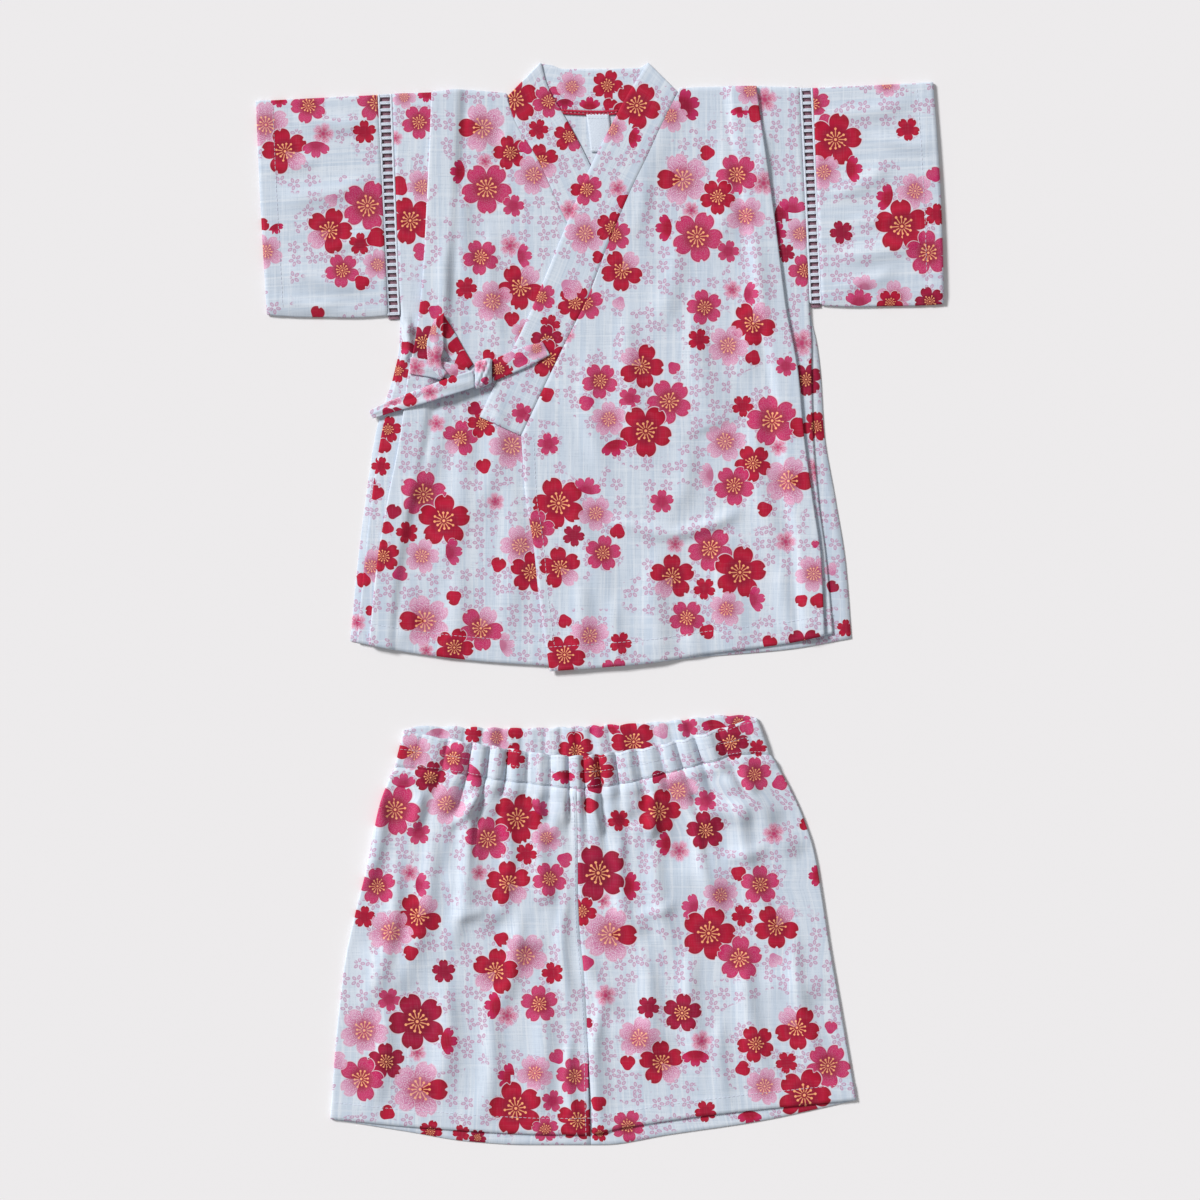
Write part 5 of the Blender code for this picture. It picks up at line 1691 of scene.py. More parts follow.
    def front(self, name: str, side: int, sections: list, rows: Grid, shoulder: Sequence[Point],
              hem: Sequence[Point], blooms: tuple[Bloom, ...]) -> tuple[bpy.types.Object, list[Grid]]:
        """A front from its sections.

        Args:
            name: Name of the piece.
            side: -1 for the right front and +1 for the left one.
            sections: Section points of (across, height), a row for each nominal distance down.
            rows: The nominal distances down.
            shoulder: Shoulder line.
            hem: Hem line.
            blooms: Its printed blossoms.

        Returns:
            The piece, and the lines of its hem stitches and its free edge's stitches.
        """
        line = np.array(sections, float)
        x = side * line[..., 0]
        down = self.body_down(rows[:, None], down_at(shoulder, x), down_at(hem, x))
        height = line[..., 1] + relief(self.creases, x, down)
        middle = solid(x, down, height)
        beneath = np.arange(x.shape[1]) <= self.strip_cells
        laid = flat(x + side * UNDER_TUCK * beneath, down)
        arcs = arc_lengths(middle)
        from_edge = arcs[:, -1:] - arcs
        grain = flat(side * (line[:, -1:, 0] + from_edge), down)
        from_hem = (self.hem_level - rows)[:, None] + 0 * x
        free = smooth((rows - self.free_from + 6) / 8.0)[:, None]
        swell = np.maximum(edge_swell(from_hem, self.hem_stitch),
                           edge_swell(from_edge, self.edge_stitch) * free)
        shell = Shell(name, middle, laid, grain, outer=CLOTH / 2 + swell)
        made = self.tailor.cut(shell, blooms)
        outer = shell.outer_points(LIFT)
        hem_row = int(np.argmin(np.abs(self.hem_level - rows - self.hem_stitch)))
        first = self.strip_cells + 2 * BEND_STEPS + 6
        lines = [outer[hem_row, first:], outer[hem_row, :self.strip_cells - 5]]
        edge_column = line.shape[1] - 1 - int(round(self.edge_stitch / self.edge_cell))
        start = int(np.argmin(np.abs(rows - self.free_from)))
        lines.append(outer[start:hem_row, edge_column])
        return made, lines

    # ------------------------------------------------ pieces of the body
    def nominal_rows(self, above: int, below: int) -> Grid:
        """Nominal distances down of a piece's rows, denser along the shoulder."""
        return np.concatenate((np.linspace(0, self.shoulder_row, above)[:-1],
                               np.linspace(self.shoulder_row, self.hem_level, below)))

    def build_back(self) -> bpy.types.Object:
        """The back: one layer on the floor, cut out round the neck.

        Returns:
            The piece.
        """
        seam = [Point(row.seam_x, row.seam_down + self.seam) for row in self.band_neck]
        seam[0] = Point(seam[0].x - 0.5, seam[0].down)
        seam[-1] = Point(seam[-1].x + 0.5, seam[-1].down)
        top = (*self.shoulder_right, *seam, *self.shoulder_left)
        corners = [point.x for point in top]
        first, last = corners[0], corners[-1]
        shares = np.unique(np.concatenate([np.linspace(a, b, steps(b - a, 3.4) + 1)
                                           for a, b in zip(corners, corners[1:])]))
        top_down = np.interp(shares, corners, [point.down for point in top])
        shares = (shares - first) / (last - first)
        rows = self.nominal_rows(*self.back_rows)
        left = column(self.sides, "down", "right_edge", rows)[:, None]
        right = column(self.sides, "down", "left_edge", rows)[:, None]
        x = mix(left, right, shares[None, :])
        down = self.body_down(rows[:, None], top_down[None, :], down_at(self.hem_back, x))
        laid = flat(x, down)
        shell = Shell("back_body", solid(x, down, np.full_like(x, layer_height(0))), laid, laid)
        back = self.tailor.cut(shell, BACK_NECK)
        return back

    def build_fronts(self) -> list[bpy.types.Object]:
        """Both fronts, with their hems sewn.

        Returns:
            The right front, the left front and the stitches.
        """
        low = layer_height(1)
        rows = self.nominal_rows(*self.front_rows)
        before, ramp, past = self.left_cells
        right_sections, left_sections = [], []
        for down in rows:
            line, foot = self.tucked(down, -self.side("right_strip", down), -self.side("right_tuck", down))
            right_sections.append(line + run(foot, (-self.inner_edge(-1, down), low),
                                             self.right_cells))
            line, foot = self.tucked(down, self.side("left_strip", down), self.side("left_tuck", down))
            edge = self.inner_edge(1, down)
            high = layer_height(self.left_layer(down))
            ledge = max(float(x_at(self.ledge, down)), edge) + self.ledge_clear
            line += run(foot, (ledge + self.ledge_ramp, low), before)
            line += run((ledge + self.ledge_ramp, low), (ledge, high), ramp, soft=True)
            left_sections.append(line + run((ledge, high), (edge, high), past))
        right, right_lines = self.front("front_right", -1, right_sections, rows, self.shoulder_right,
                                        self.hem_back, UNDER_FRONT)
        left, left_lines = self.front("front_left", 1, left_sections, rows, self.shoulder_left,
                                      self.hem_over, OVER_FRONT)
        return [right, left, self.tailor.sew("front_hem_stitches", right_lines + left_lines)]

    def build_sleeves(self) -> list[bpy.types.Object]:
        """Both sleeves with their cuffs sewn, and the lace that joins them to the body.

        Returns:
            The lace, the sleeves and the stitches.
        """
        made, lines, lace = [], [], {}
        for trim in self.laces:
            pieces = trim.build(self.tailor)
            lace[trim.name.replace("lace", "sleeve")] = pieces
            made += pieces
        for sleeve in self.sleeves:
            shell, cuff = sleeve.shell()
            piece = self.tailor.cut(shell, sleeve.blooms)
            lines.append(cuff)
            made.append(piece)
        return [*made, self.tailor.sew("cuff_stitches", lines)]

    def _fold(self, section: Band, rising: bool, outwards: int) -> list[np.ndarray]:
        """Rows of (seam, free) points round the band's fold at a neck point.

        Args:
            section: Section of the band at the neck point.
            rising: Whether the band climbs a layer along it.
            outwards: +1 or -1, the side of the neck.

        Returns:
            The rows, in the band's own order.
        """
        low, high = layer_height(0), layer_height(1)
        seam = np.array((section.seam_x, -section.seam_down))
        free = np.array((section.free_x, -section.free_down))
        along = (free - seam) / np.linalg.norm(free - seam)
        away = np.array((along[1], -along[0])) * outwards
        if away[0] * outwards < 0:
            away = -away
        middle, radius = (low + high) / 2, (high - low) / 2
        found = []
        for step in range(BEND_STEPS + 1):
            turn = math.pi * step / BEND_STEPS
            if not rising:
                turn = math.pi - turn
            reach = away * (radius * math.sin(turn) - radius - WALL / 2)
            height = middle - radius * math.cos(turn)
            found.append(np.array(((*(seam + reach), height), (*(free + reach), height))))
        return found

    def _flat(self, rows: Sequence[Band], first: np.ndarray | None,
              last: np.ndarray | None) -> list[np.ndarray]:
        """Rows of (seam, free) points of a flat stretch, joined to the folds beside it.

        Args:
            rows: Sections of the stretch.
            first: Last row of the fold before it, or None.
            last: First row of the fold after it, or None.

        Returns:
            The rows between the two folds.
        """
        ends = [np.array(((row.seam_x, -row.seam_down, layer_height(row.layer)),
                          (row.free_x, -row.free_down, layer_height(row.layer)))) for row in rows]
        if first is not None:
            ends.insert(0, first)
        if last is not None:
            ends.append(last)
        points = np.array(ends)
        middle = points.mean(axis=1)
        keys = np.concatenate(([0], np.cumsum(np.linalg.norm(np.diff(middle, axis=0), axis=1))))
        at = np.linspace(0, keys[-1], steps(keys[-1]) + 1)
        if first is not None:
            at = at[1:]
        if last is not None:
            at = at[:-1]
        found = np.empty((len(at), 2, 3))
        for edge in range(2):
            for part in range(3):
                found[:, edge, part] = curve_at(keys, points[:, edge, part], at)
        return list(found)

    def build_collar(self) -> list[bpy.types.Object]:
        """The collar band: one folded strip, turned over at both neck points, and its stitches.

        Returns:
            The band and the stitches.
        """
        right_fold = self._fold(self.band_right[-1], False, -1)
        left_fold = self._fold(self.band_left[0], True, 1)
        rows = self._flat(self.band_right[:-1], None, right_fold[0])
        neck_from = len(rows) + len(right_fold)
        rows += right_fold
        rows += self._flat(self.band_neck[1:-1], right_fold[-1], left_fold[0])
        rows += left_fold
        left_from = len(rows)
        rows += self._flat(self.band_left[1:], left_fold[-1], None)
        ends = np.array(rows)
        share = np.linspace(0, 1, self.band_sections)[None, :, None]
        middle = mix(ends[:, :1], ends[:, 1:], share)
        flat_rows = np.ones(len(rows))
        for fold_from in (neck_from, left_from):
            flat_rows *= smooth(np.abs(np.arange(len(rows)) - (fold_from - BEND_STEPS / 2)) / 9 - 0.4)
        x, down = middle[..., 0], -middle[..., 1]
        lift = relief(self.creases, x, down) * flat_rows[:, None] * (middle[..., 2] > layer_height(0.6))
        middle[..., 2] += lift
        along = np.concatenate(([0], np.cumsum(np.linalg.norm(
            np.diff(middle.mean(axis=1), axis=0), axis=1))))[:, None]
        across = share[..., 0] * np.linalg.norm(ends[:, 1] - ends[:, 0], axis=1)[:, None]
        width = across[:, -1:]
        puff = 0.5 * np.sin(np.pi * share[..., 0]) ** 0.6 * flat_rows[:, None]
        puff = puff * (1 + 0.25 * np.sin(along / 17 + 0.6) * np.sin(along / 6.1))
        puff = puff - 0.2 * np.exp(-((across - 2.6) / 0.9) ** 2) - 0.12 * np.exp(
            -((width - across - 3.0) / 1.0) ** 2)
        shell = Shell("collar", middle, flat(x, down), flat(across, along + 0 * across), up=7,
                      outer=CLOTH / 2 + puff)
        collar = self.tailor.cut(shell, COLLAR)
        outer = shell.outer_points(LIFT)
        lines = [outer[left_from + 2:, 1], outer[:neck_from - BEND_STEPS - 2, 1]]
        return [collar, self.tailor.sew("collar_stitches", lines)]

    def build_neck_tape(self) -> list[bpy.types.Object]:
        """The red piping on the back neck's seam, and the rolled tape sewn below it.

        Returns:
            The piping, the tape and the stitches.
        """
        seam = np.array([(row.seam_x, -row.seam_down) for row in self.band_neck])[1:-1]
        made = []
        count, face = self.cord_sections, layer_height(0) + CLOTH / 2
        at = np.linspace(*self.neck_tape_ends, count)
        from_end = np.minimum(np.arange(count), np.arange(count)[::-1])
        whole_turns = np.linspace(0, 2 * np.pi, self.cord_sides + 1)
        turns = whole_turns[:-1]
        ring = np.stack((0 * turns, np.cos(turns), self.cord_flat * np.sin(turns)), -1)
        for name, shift, size in self.cords:
            line = np.stack((at, curve_at(seam[:, 0], seam[:, 1], at) - shift, 0 * at), -1)
            sizes = size * (0.35 + 0.65 * smooth(from_end / 5)) * (1 + 0.10 * np.sin(at * 2.9))
            points = line[:, None] + ring[None] * sizes[:, None, None]
            points[..., 2] += face + self.cord_flat * size
            laid = flat(*np.broadcast_arrays(whole_turns[None] * size, at[:, None]))
            tape = Shell(name, points, laid, laid, ring=True, up=3, outer=0.05, inner=0.15)
            made.append(keep(tape.build(self.tailor.finishes.red, self.tailor.origin), "label_tape"))
        return [*made, self.tailor.sew("neck_tape_stitches", [line + (0, 0.7, face + 1.1)], "label_tape",
                                       pitch=2.6, length=1.5, thickness=0.25)]

    def build_label(self) -> list[bpy.types.Object]:
        """The blank label inside the back neck, sewn along its short ends.

        Returns:
            The label and the stitches.
        """
        corners = np.array([(point.x, -point.down) for point in self.label])
        across = np.linspace(0, 1, self.label_points[0])[None, :, None]
        along = np.linspace(0, 1, self.label_points[1])[:, None, None]
        place = mix(mix(corners[0], corners[1], across), mix(corners[3], corners[2], across), along)
        swell = self.label_swell * np.sin(np.pi * along[..., 0])
        height = layer_height(1) + swell * np.sin(np.pi * across[..., 0])
        middle = np.concatenate((place, height[..., None]), axis=-1)
        grain = place * (1, -1)
        shell = Shell("label", middle, grain, grain, outer=self.label_half, inner=self.label_half,
                      rim=0.12)
        label = keep(shell.build(self.tailor.finishes.tape, self.tailor.origin), "label_tape", "label")
        outer = shell.outer_points(0.08)
        return [label, self.tailor.sew("label_stitches", [outer[2, 1:-1], outer[-3, 1:-1]], "label_tape",
                                       pitch=1.9, length=1.5, thickness=0.3)]

    def build_ties(self) -> list[bpy.types.Object]:
        """The strips of the bow: flat folded ties with a soft swell and pulled folds.

        Returns:
            The strips, from the lowest up.
        """
        made = []
        for name, table in self.ties.items():
            rows = np.array(table)
            keys = np.concatenate(([0], np.cumsum(np.linalg.norm(np.diff(rows[:, :2], axis=0), axis=1))))
            at = np.linspace(0, keys[-1], steps(keys[-1], self.tie_cell) + 1)
            value = np.stack([curve_at(keys, rows[:, part], at) for part in range(6)], -1)
            upper, lower = solid(*value.T[:3])[:, None], solid(*value.T[3:])[:, None]
            share = np.linspace(0, 1, self.tie_sections)[None, :, None]
            middle = mix(upper, lower, share)
            width = np.linalg.norm(lower - upper, axis=-1)
            taper = smooth(np.minimum(at, keys[-1] - at) / 3)[:, None]
            fold = self.tie_fold * np.sin(share[..., 0] * 9 + at[:, None] / 9 + len(name)) * taper
            puff = CLOTH / 2 + self.tie_puff * np.sin(np.pi * share[..., 0]) ** 0.7 * taper + fold * 0.6
            grain = flat(*np.broadcast_arrays(share[..., 0] * width, at[:, None]))
            shell = Shell(name, middle, middle[..., :2] * (1, -1), grain, up=6, outer=puff)
            piece = self.tailor.cut(shell, TIE_CLOTH)
            made.append(piece)
        return made

    def build_knot(self) -> bpy.types.Object:
        """The knot: a turn of the tie pulled tight, creased along its wrap.

        Returns:
            The piece.
        """
        rings = np.array(self.knot)
        count = self.knot_sides
        at = np.linspace(rings[0, 0], rings[-1, 0], self.knot_rows)
        along = np.sin(np.linspace(0, np.pi, self.knot_rows))[:, None]
        value = [curve_at(rings[:, 0], rings[:, part], at)[:, None] for part in range(1, 5)]
        turns = (np.arange(count) + 0.5) * 2 * np.pi / count
        down = value[0] - value[2] * np.cos(turns)
        height = value[1] + value[3] * np.sin(turns)
        x = at[:, None] + 0 * down
        x = x + 1.6 * (value[0] - down) / 11 * along
        wave = np.sin((x * 0.93 + down * 0.36) * 1.75) + 0.5 * np.sin((x * 0.8 - down * 0.2) * 3.1 + 1)
        press = along * np.clip(np.sin(turns), 0, 1)
        laid = closed(flat(x, down))
        middle = solid(x, down, height + self.knot_fold * wave * press)
        shell = Shell("tie_knot", middle, laid, laid[..., ::-1], ring=True, up=count // 4)
        made = self.tailor.cut(shell, KNOT_CLOTH)
        return made

    def build(self) -> None:
        """The whole top, piece by piece."""
        builders: tuple[Callable[[], object], ...] = (
            self.build_back, self.build_fronts, self.build_sleeves, self.build_collar,
            self.build_neck_tape, self.build_label, self.build_ties, self.build_knot)
        for builder in builders:
            made = builder()
            for piece in made if isinstance(made, list) else [made]:
                log.info("top: %s, %d faces", piece.name, len(piece.data.polygons))


# ---------------------------------------------------------------- the shorts
@dataclass
class Shorts:
    """The shorts: two legs and a gathered waistband with elastic inside."""

    tailor: Tailor
    band_clear: float = 2.5
    gather_pitch: float = 14.2
    gather_height: float = 5.4
    small_height: float = 0.45
    ridge_height: float = 2.0
    scallop: float = 1.6
    leg_settle: float = 0.18
    gather_run: float = 28.0
    gather_run_spread: float = 12.0
    long_fold_run: float = 60.0
    long_folds: tuple[float, ...] = (-71.0, 45.6, 68.7)
    hem_stitch: float = 12.0
    seam: float = 0.3
    fold_height: float = 1.5
    leg_length: float = 240.0
    leg_gap: float = 1.0        # how far each leg draws back from the other below the crotch
    crotch: float = 0.66
    dense_to: float = 0.12      # share of a leg with denser rows, below the waist seam
    leg_rows: tuple[int, int] = (15, 96)    # rows of that part and of the rest
    cells_front: int = steps(150, 2.0)
    cells_behind: int = steps(165, 5.0)
    band_cells: int = steps(255, 1.35)      # across each side of the waistband
    band_rows: int = 15
    legs: tuple[Leg, ...] = entries(Leg,
        (0.0, -129.2, -5.6, 126.5), (0.04, -134.0, -5.4, 132.3), (0.10, -139.4, -5.1, 140.2),
        (0.18, -143.8, -4.8, 148.7), (0.28, -148.4, -4.8, 156.2), (0.40, -155.6, -3.8, 161.0),
        (0.55, -163.3, -0.4, 166.4), (0.75, -168.8, 2.0, 174.5), (1.0, -173.2, 4.1, 184.3))
    waist_top: tuple[float, float] = (-123.1, 117.0)
    waist_low: tuple[float, float] = (-129.2, 125.8)
    waist_front_top: tuple[Point, ...] = entries(Point,
        (-123.1, 2.0), (-94.5, 7.5), (-52.4, 14.3), (-5.4, 19.4), (36.7, 14.3), (76.2, 5.4), (117.0, -6.8))
    waist_front_low: tuple[Point, ...] = entries(Point,
        (-129.2, 27.2), (-98.6, 29.9), (-40.8, 38.1), (-5.4, 41.5), (22.4, 38.8), (84.3, 23.8),
        (108.8, 18.6), (125.8, 19.0))
    waist_back_top: tuple[Point, ...] = entries(Point,
        (-123.1, 1.4), (-112.0, -1.0), (-60.0, 0.8), (-10.0, 0.0), (56.4, -4.1), (104.0, -8.2),
        (117.0, -6.8))
    waist_back_low: tuple[Point, ...] = entries(Point,
        (-129.2, 27.2), (-60.0, 25.0), (0.0, 24.0), (60.0, 20.0), (125.8, 19.0))
    hem_front: tuple[Point, ...] = entries(Point,
        (-173.2, 265.9), (-110.2, 272.0), (-20.4, 276.6), (4.0, 276.4), (22.4, 272.7), (86.4, 263.2),
        (184.3, 253.0))
    hem_back: tuple[Point, ...] = entries(Point,
        (-173.2, 266.2), (-120.4, 274.7), (-80.2, 281.2), (-40.0, 283.6), (11.6, 283.6), (56.4, 276.8),
        (116.3, 267.9), (184.3, 253.3))
    creases: tuple[Crease, ...] = entries(Crease,
        (-78, 60, -92, 150, 6.0, 1.2), (-54, 54, -58, 128, 5.0, 1.1), (-30, 62, -20, 132, 5.0, 1.0),
        (-104, 70, -124, 170, 7.0, 1.3), (-128, 88, -148, 190, 6.0, 1.2), (-44, 128, -62, 196, 6.0, 1.2),
        (-60, 136, -28, 148, 5.0, 0.9), (-96, 170, -100, 250, 8.0, 1.3), (-136, 190, -146, 258, 7.0, 1.1),
        (-66, 190, -70, 268, 7.0, 1.2), (-32, 176, -34, 266, 7.0, 1.1), (-12, 110, -10, 190, 4.0, 1.0),
        (26, 66, 30, 140, 5.0, 1.0), (50, 60, 58, 150, 6.0, 1.2), (76, 56, 96, 140, 6.0, 1.2),
        (104, 50, 132, 150, 7.0, 1.3), (94, 88, 124, 82, 5.0, 1.1), (18, 120, 44, 138, 5.0, 1.0),
        (40, 152, 38, 236, 7.0, 1.2), (72, 150, 82, 240, 7.0, 1.2), (110, 150, 122, 236, 7.0, 1.3),
        (142, 140, 160, 232, 6.0, 1.2), (14, 176, 14, 262, 5.0, 0.9), (92, 200, 96, 256, 6.0, 0.9),
        (34, 128, 62, 120, 4.0, 0.8), (-90, 130, -64, 120, 4.0, 0.8), (-67, 36, -92, 68, 3.2, 1.9),
        (-75, 38, -99, 66, 4.0, -0.3), (-43, 36, -33, 52, 3.0, 0.9), (-52, 37, -60, 58, 3.5, 0.8),
        (24, 41, 30, 62, 3.5, 1.7), (44, 36, 43, 80, 3.2, 2.0), (66, 30, 74, 48, 3.0, 1.6),
        (93, 29, 130, 63, 7.0, 2.2), (82, 54, 116, 58, 8.0, 2.0), (116, 58, 146, 84, 7.0, 1.6),
        (34, 70, 50, 62, 6.0, 1.4), (-138, 40, -150, 110, 5.0, 1.5), (-112, 44, -118, 70, 4.0, 1.4),
        (-86, 118, -58, 132, 7.0, 1.5), (-46, 100, -24, 118, 7.0, 1.2), (4, 44, 12, 72, 3.0, 1.4),
        (-14, 42, -12, 66, 3.0, 1.2), (-33, 42, -28, 62, 3.0, 1.5), (106, 26, 116, 44, 3.0, 1.4),
        (-20, 40, -24, 78, 4.0, 0.9), (60, 96, 104, 104, 12.0, 1.1), (-150, 150, -120, 178, 10.0, 1.0),
        (-9, 205, -5, 278, 3.5, 1.1), (9, 190, 12, 276, 3.5, 1.1), (-2, 150, 22, 196, 6.0, 1.0),
        (12, 200, 60, 214, 9.0, 0.9), (-96, 100, -66, 118, 10.0, 1.0), (120, 170, 160, 180, 10.0, 0.9))

    def gather(self, place: Grid) -> Grid:
        """Height of the waist gathers at places across the waist, from a dip to 1.

        Args:
            place: Distance from the waist's middle.

        Returns:
            The height there.
        """
        phase = place / self.gather_pitch + 0.30 * np.sin(place / 31) + 0.16 * np.sin(place / 11)
        swell = 0.8 + 0.2 * np.sin(place / 13 + 1)
        window = np.maximum(0.0, 1 - (np.abs(place) / 122) ** 8)
        return window * (swell * np.abs(np.sin(np.pi * phase)) ** 0.9 - 0.2)

    def small_gather(self, place: Grid) -> Grid:
        """Height of the fine puckers between the gathers, from -1 to 1.

        Args:
            place: Distance from the waist's middle.

        Returns:
            The height there.
        """
        window = np.maximum(0.0, 1 - (np.abs(place) / 124) ** 8)
        return window * (0.6 * np.sin(place / 0.84 + 1.3 * np.sin(place / 9))
                         + 0.4 * np.sin(place / 1.37 + 2 * np.sin(place / 23)))

    def gather_fade(self, place: Grid, down: Grid) -> Grid:
        """How much of a gather is left at a distance below the waist seam.

        Args:
            place: Distance from the waist's middle.
            down: Distance below the seam.

        Returns:
            The share that is left.
        """
        reach = self.gather_run + self.gather_run_spread * np.sin(place / 17 + 0.7)
        for fold in self.long_folds:
            reach = np.maximum(reach, self.long_fold_run * np.exp(-((place - fold) / 9) ** 2))
        return np.exp(-(down / reach) ** 2)

    def build_leg(self, name: str, side: int,
                  blooms: tuple[Bloom, ...]) -> tuple[bpy.types.Object, list[Grid], Grid]:
        """A leg, from the centre front round its outer fold to the centre back.

        Args:
            name: Name of the piece.
            side: -1 for the right leg and +1 for the left one.
            blooms: Its printed blossoms.

        Returns:
            The leg, the lines of its hem stitches, and the line of its centre seam.
        """
        fold_name = "right_fold" if side < 0 else "left_fold"
        back = layer_height(0)
        dense, rest = self.leg_rows
        shares = np.concatenate((np.linspace(0, self.dense_to, dense)[:-1],
                                 np.linspace(self.dense_to, 1, rest)))
        fronts, backs = self.cells_front, self.cells_behind
        along = np.linspace(0, 1, fronts + 1)
        sections = []
        waist_fold = side * column(self.legs, "share", fold_name, 0.0)
        waist_seam = side * column(self.legs, "share", "middle", 0.0)
        waist = side * mix(waist_seam, waist_fold, along)
        for share in shares:
            seam = side * float(column(self.legs, "share", "middle", share)) + self.seam / 2
            fold = side * float(column(self.legs, "share", fold_name, share))
            rest = mix(self.band_clear + WALL / 2, layer_height(1), float(smooth(share / self.leg_settle)))
            turn = fold - WALL / 2 - (rest - back) / 2
            below = share * self.leg_length
            height = rest + self.gather_height * self.gather(waist) * self.gather_fade(waist, below)
            height = height + self.small_height * self.small_gather(waist) * math.exp(-(below / 11) ** 2)
            part = self.leg_gap * float(smooth((share - self.crotch) / (1 - self.crotch)))
            line = list(zip(mix(seam + part, turn, along), height))
            line += bend(turn, rest, back, 1)[1:]
            sections.append(line + run((turn, back), (seam, back), backs))
        line = np.array(sections, float)
        bends = [1 - float(smooth(step / BEND_STEPS)) for step in range(1, BEND_STEPS + 1)]
        front_part = np.array([1.0] * (fronts + 1) + bends + [0.0] * backs)
        x = side * line[..., 0]
        share = shares[:, None]
        below = share * self.leg_length
        left = column(self.legs, "share", "right_fold", shares)[:, None]
        right = column(self.legs, "share", "left_fold", shares)[:, None]
        place = mix(self.waist_low[0], self.waist_low[1], (x - left) / (right - left))
        front = mix(down_at(self.waist_front_low, place) + self.seam, down_at(self.hem_front, x), share)
        rear = mix(down_at(self.waist_back_low, place) + self.seam, down_at(self.hem_back, x), share)
        pull = np.concatenate((self.gather(waist) - 0.5, np.zeros(len(front_part) - len(waist))))
        front = front + self.scallop / 2 * pull * np.exp(-(below / 7) ** 2)
        down = mix(rear, front, front_part)
        height = line[..., 1] + (self.fold_height * relief(self.creases, x, down) * front_part
                                 * smooth(share * 16 - 0.05))
        middle = solid(x, down, height)
        swell = edge_swell((1 - share) * self.leg_length + 0 * x, self.hem_stitch)
        swell = swell + np.exp(-((below - 4.5) / 3.2) ** 2)
        shell = Shell(name, middle, flat(x, down), flat(side * arc_lengths(middle), down),
                      up=fronts // 2, outer=CLOTH / 2 + swell * front_part)
        made = self.tailor.cut(shell, blooms)
        hem_row = int(np.argmin(np.abs((1 - shares) * self.leg_length - self.hem_stitch)))
        outer = shell.outer_points(LIFT)
        return made, [outer[hem_row, :fronts]], outer[3:, 1]

    def build_waistband(self) -> tuple[bpy.types.Object, list[Grid]]:
        """The gathered ring of the waist, with its front run in waves over the back one.

        Returns:
            The waistband and the lines of its elastic's stitches.
        """
        back, rest = layer_height(0), self.band_clear + WALL / 2
        radius = (rest - back) / 2
        count, levels = self.band_cells, self.band_rows
        step = np.linspace(0, 1, count + 1)
        waist = mix(self.waist_low[0], self.waist_low[1], step)
        rows, depths = [], []
        for row in range(levels):
            share = row / (levels - 1)
            left = mix(self.waist_top[0], self.waist_low[0], share) + WALL / 2 + radius
            right = mix(self.waist_top[1], self.waist_low[1], share) - WALL / 2 - radius
            wave = self.gather_height * self.gather(waist)
            channels = 0.75 + 0.25 * math.cos(6 * math.pi * share)
            fine = self.small_height * self.small_gather(waist + 1.2 * math.sin(3 * share)) * channels
            line = [(mix(left, right, place), back) for place in step]
            line += bend(right, back, rest, 1)[1:-1]
            front = [(mix(left, right, place), rest + high + small)
                     for place, high, small in zip(step, wave, fine)]
            line += front[::-1]
            line += bend(left, rest, back, -1)[1:-1]
            ridges = self.ridge_height * self.gather(waist + self.gather_pitch / 3)
            ridges = np.maximum(0.1, CLOTH / 2 + ridges + 0.2 * (1 + self.small_gather(waist)) * channels)
            rows.append(line)
            depths.append(list(ridges) + [CLOTH / 2] * (len(line) - len(ridges)))
        line, depth = np.array(rows, float), np.array(depths, float)
        bends = BEND_STEPS - 1
        rising = [float(smooth((number + 1) / BEND_STEPS)) for number in range(bends)]
        front_part = np.array([0.0] * (count + 1) + rising + [1.0] * (count + 1)
                              + [1 - value for value in rising])
        x, share = line[..., 0], np.linspace(0, 1, levels)[:, None]
        front = mix(down_at(self.waist_front_top, x), down_at(self.waist_front_low, x), share)
        rear = mix(down_at(self.waist_back_top, x), down_at(self.waist_back_low, x), share)
        pull = self.scallop * (self.gather(x) - 0.5)
        front = front + pull * mix(-1.0, 0.5, share)
        rear = rear - pull * (1 - share)
        down = mix(rear, front, front_part)
        middle = solid(x, down, line[..., 1])
        laid = closed(flat(x, down - BACK_BAND * (front_part < 0.01)))
        arcs = arc_lengths(closed(middle)).mean(axis=0) + 0 * laid[..., 0]
        grain = flat(arcs, laid[..., 1])
        puff = 0.8 * np.sin(np.pi * share) ** 0.6 - 0.15 * np.exp(-((share - 0.5) / 0.05) ** 2)
        up = count + 1 + bends + count // 2
        shell = Shell("waistband", middle, laid, grain, ring=True, up=up,
                      outer=CLOTH / 2 + puff * front_part, inner=depth)
        made = self.tailor.cut(shell, RIGHT_LEG + LEFT_LEG + BACK_WAIST)
        outer = shell.outer_points(LIFT)
        front_columns = slice(count + 1 + bends, 2 * count + 2 + bends)
        return made, [outer[number, front_columns] for number in (1, levels // 2, levels - 2)]

    def build(self) -> None:
        """The whole shorts, piece by piece."""
        band, lines = self.build_waistband()
        right, right_lines, right_seam = self.build_leg("leg_right", -1, RIGHT_LEG)
        left, left_lines, _ = self.build_leg("leg_left", 1, LEFT_LEG)
        hems = self.tailor.sew("shorts_hem_stitches", right_lines + left_lines)
        elastic = self.tailor.sew("waist_stitches", lines, pitch=2.6, length=2.1, thickness=0.28)
        centre = self.tailor.sew("centre_stitches", [right_seam])
        for piece in (band, right, left, hems, elastic, centre):
            log.info("shorts: %s, %d faces", piece.name, len(piece.data.polygons))


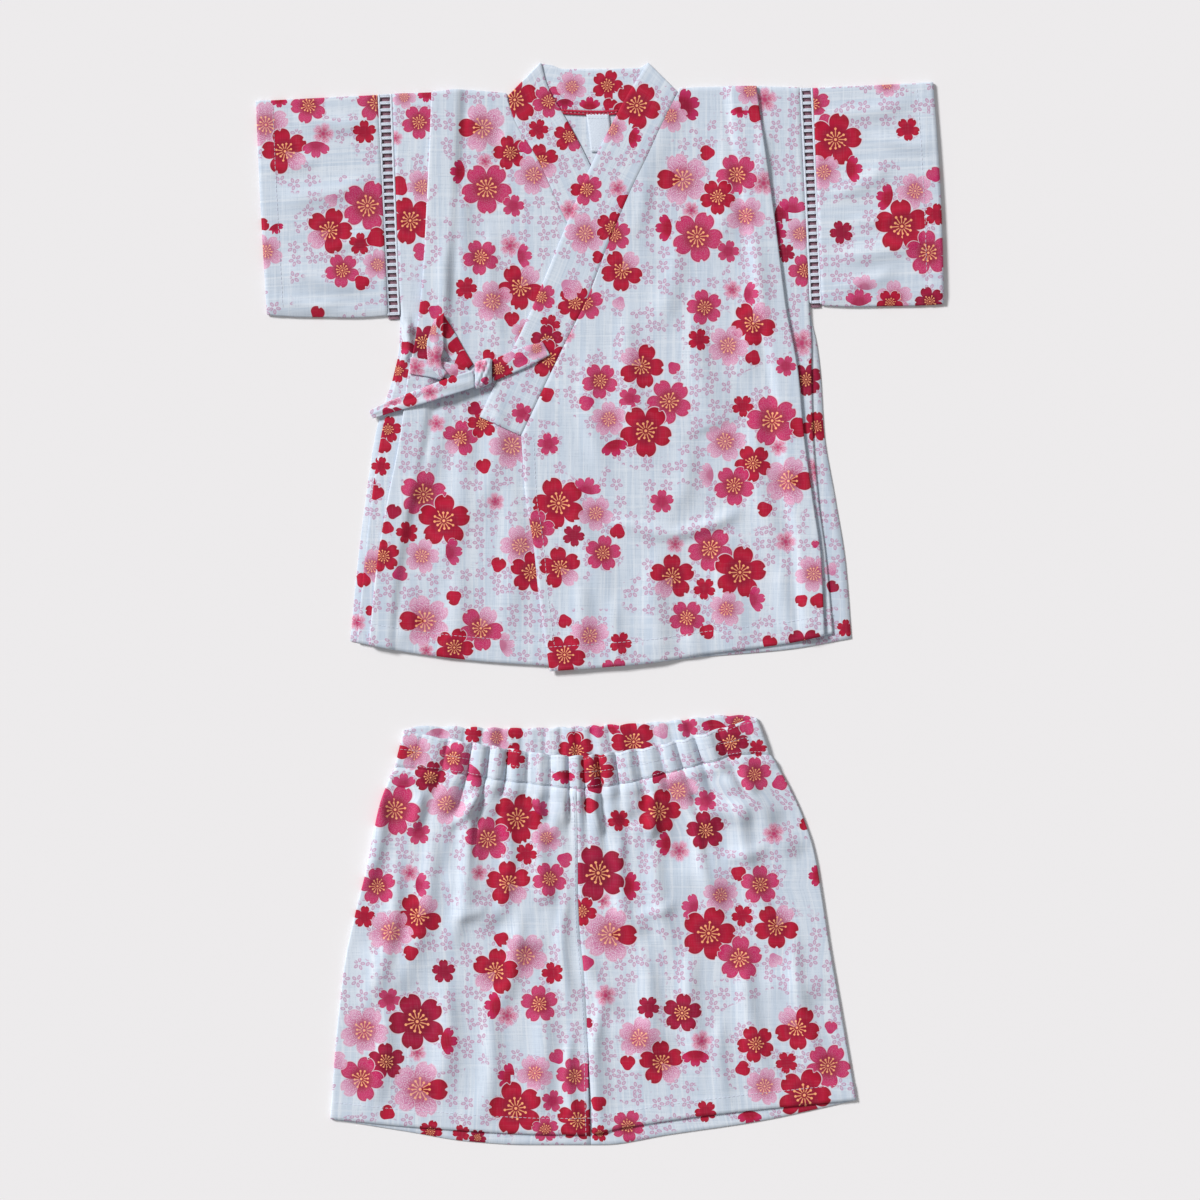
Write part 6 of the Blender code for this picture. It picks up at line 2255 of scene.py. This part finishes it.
# ---------------------------------------------------------------- floor, light and camera
@dataclass(frozen=True)
class Studio:
    """A pale floor, soft light from the upper left and a camera straight above."""

    frame_side: float = 0.816
    centre: tuple[float, float] = (0.0, 0.0026)
    camera_height: float = 2.4
    floor_side: float = 40.0
    floor_colour: tuple = tint(238, 236, 237)
    key_strength: float = 3.62
    key_angle: float = 14.0     # apparent size of the window light, degrees
    key_way: tuple[float, float, float] = (1.0, -0.75, -0.85)
    sensor: float = 36.0
    sky: float = 0.34
    floor_drop: float = 0.0002

    def _floor(self) -> None:
        """The floor, a hair below the cloth."""
        half = self.floor_side / 2
        mesh = bpy.data.meshes.new("floor")
        mesh.from_pydata([(x * half, y * half, -self.floor_drop)
                          for x, y in ((-1, -1), (1, -1), (1, 1), (-1, 1))], [], [(0, 1, 2, 3)])
        material, wires, shader = new_material("floor")
        wires.feed(shader, {"Base Color": self.floor_colour, "Roughness": 0.9,
                            "Specular IOR Level": 0.1})
        mesh.materials.append(material)
        stand("floor", mesh)

    def _key(self) -> None:
        """Broad window light from the upper left."""
        lamp = bpy.data.lights.new("key", "SUN")
        lamp.energy = self.key_strength
        lamp.angle = math.radians(self.key_angle)
        made = stand("key", lamp)
        made.rotation_euler = Vector(self.key_way).to_track_quat("-Z", "Y").to_euler()

    def build(self) -> None:
        """Floor, lights, surroundings and camera."""
        self._floor()
        self._key()
        world = bpy.data.worlds.new("studio")
        world.use_nodes = True
        Wires(world.node_tree).feed(world.node_tree.nodes["Background"],
                                    {"Color": (1.0, 1.0, 1.0, 1.0), "Strength": self.sky})
        scene = bpy.context.scene
        scene.world = world
        scene.view_settings.view_transform = "Standard"
        lens = bpy.data.cameras.new("camera")
        lens.sensor_width = lens.sensor_height = self.sensor
        lens.sensor_fit = "HORIZONTAL"
        lens.lens = self.sensor * self.camera_height / self.frame_side
        scene.camera = stand("camera", lens)
        scene.camera.location = (*self.centre, self.camera_height)


def main() -> None:
    """Dress the whole set and set its stage."""
    logging.basicConfig(level=logging.INFO, format="%(message)s")
    Studio().build()
    finishes = Finishes(
        cotton=PrintedCotton().build(),
        lace=Thread("ladder_lace", tint(222, 228, 238), tint(198, 206, 222)).build(),
        # Back run of the lace: the same thread dyed darker, as painted shade for the shadow seen through
        # the front run's gaps.
        shaded_lace=Thread("ladder_lace_under", tint(158, 120, 134), tint(132, 96, 112)).build(),
        tape=Thread("label_tape", tint(214, 223, 235), tint(204, 213, 226), 0.6, 1200.0, 0.2).build(),
        white=Thread("pale_thread", tint(222, 222, 234), tint(196, 200, 218)).build(),
        red=Thread("red_thread", tint(196, 34, 70), tint(150, 20, 50)).build())
    needle = StitchTree()
    WrapTop(Tailor(finishes, needle, SHOULDER_AT)).build()
    Shorts(Tailor(finishes, needle, WAIST_AT)).build()


if __name__ == "__main__":
    main()
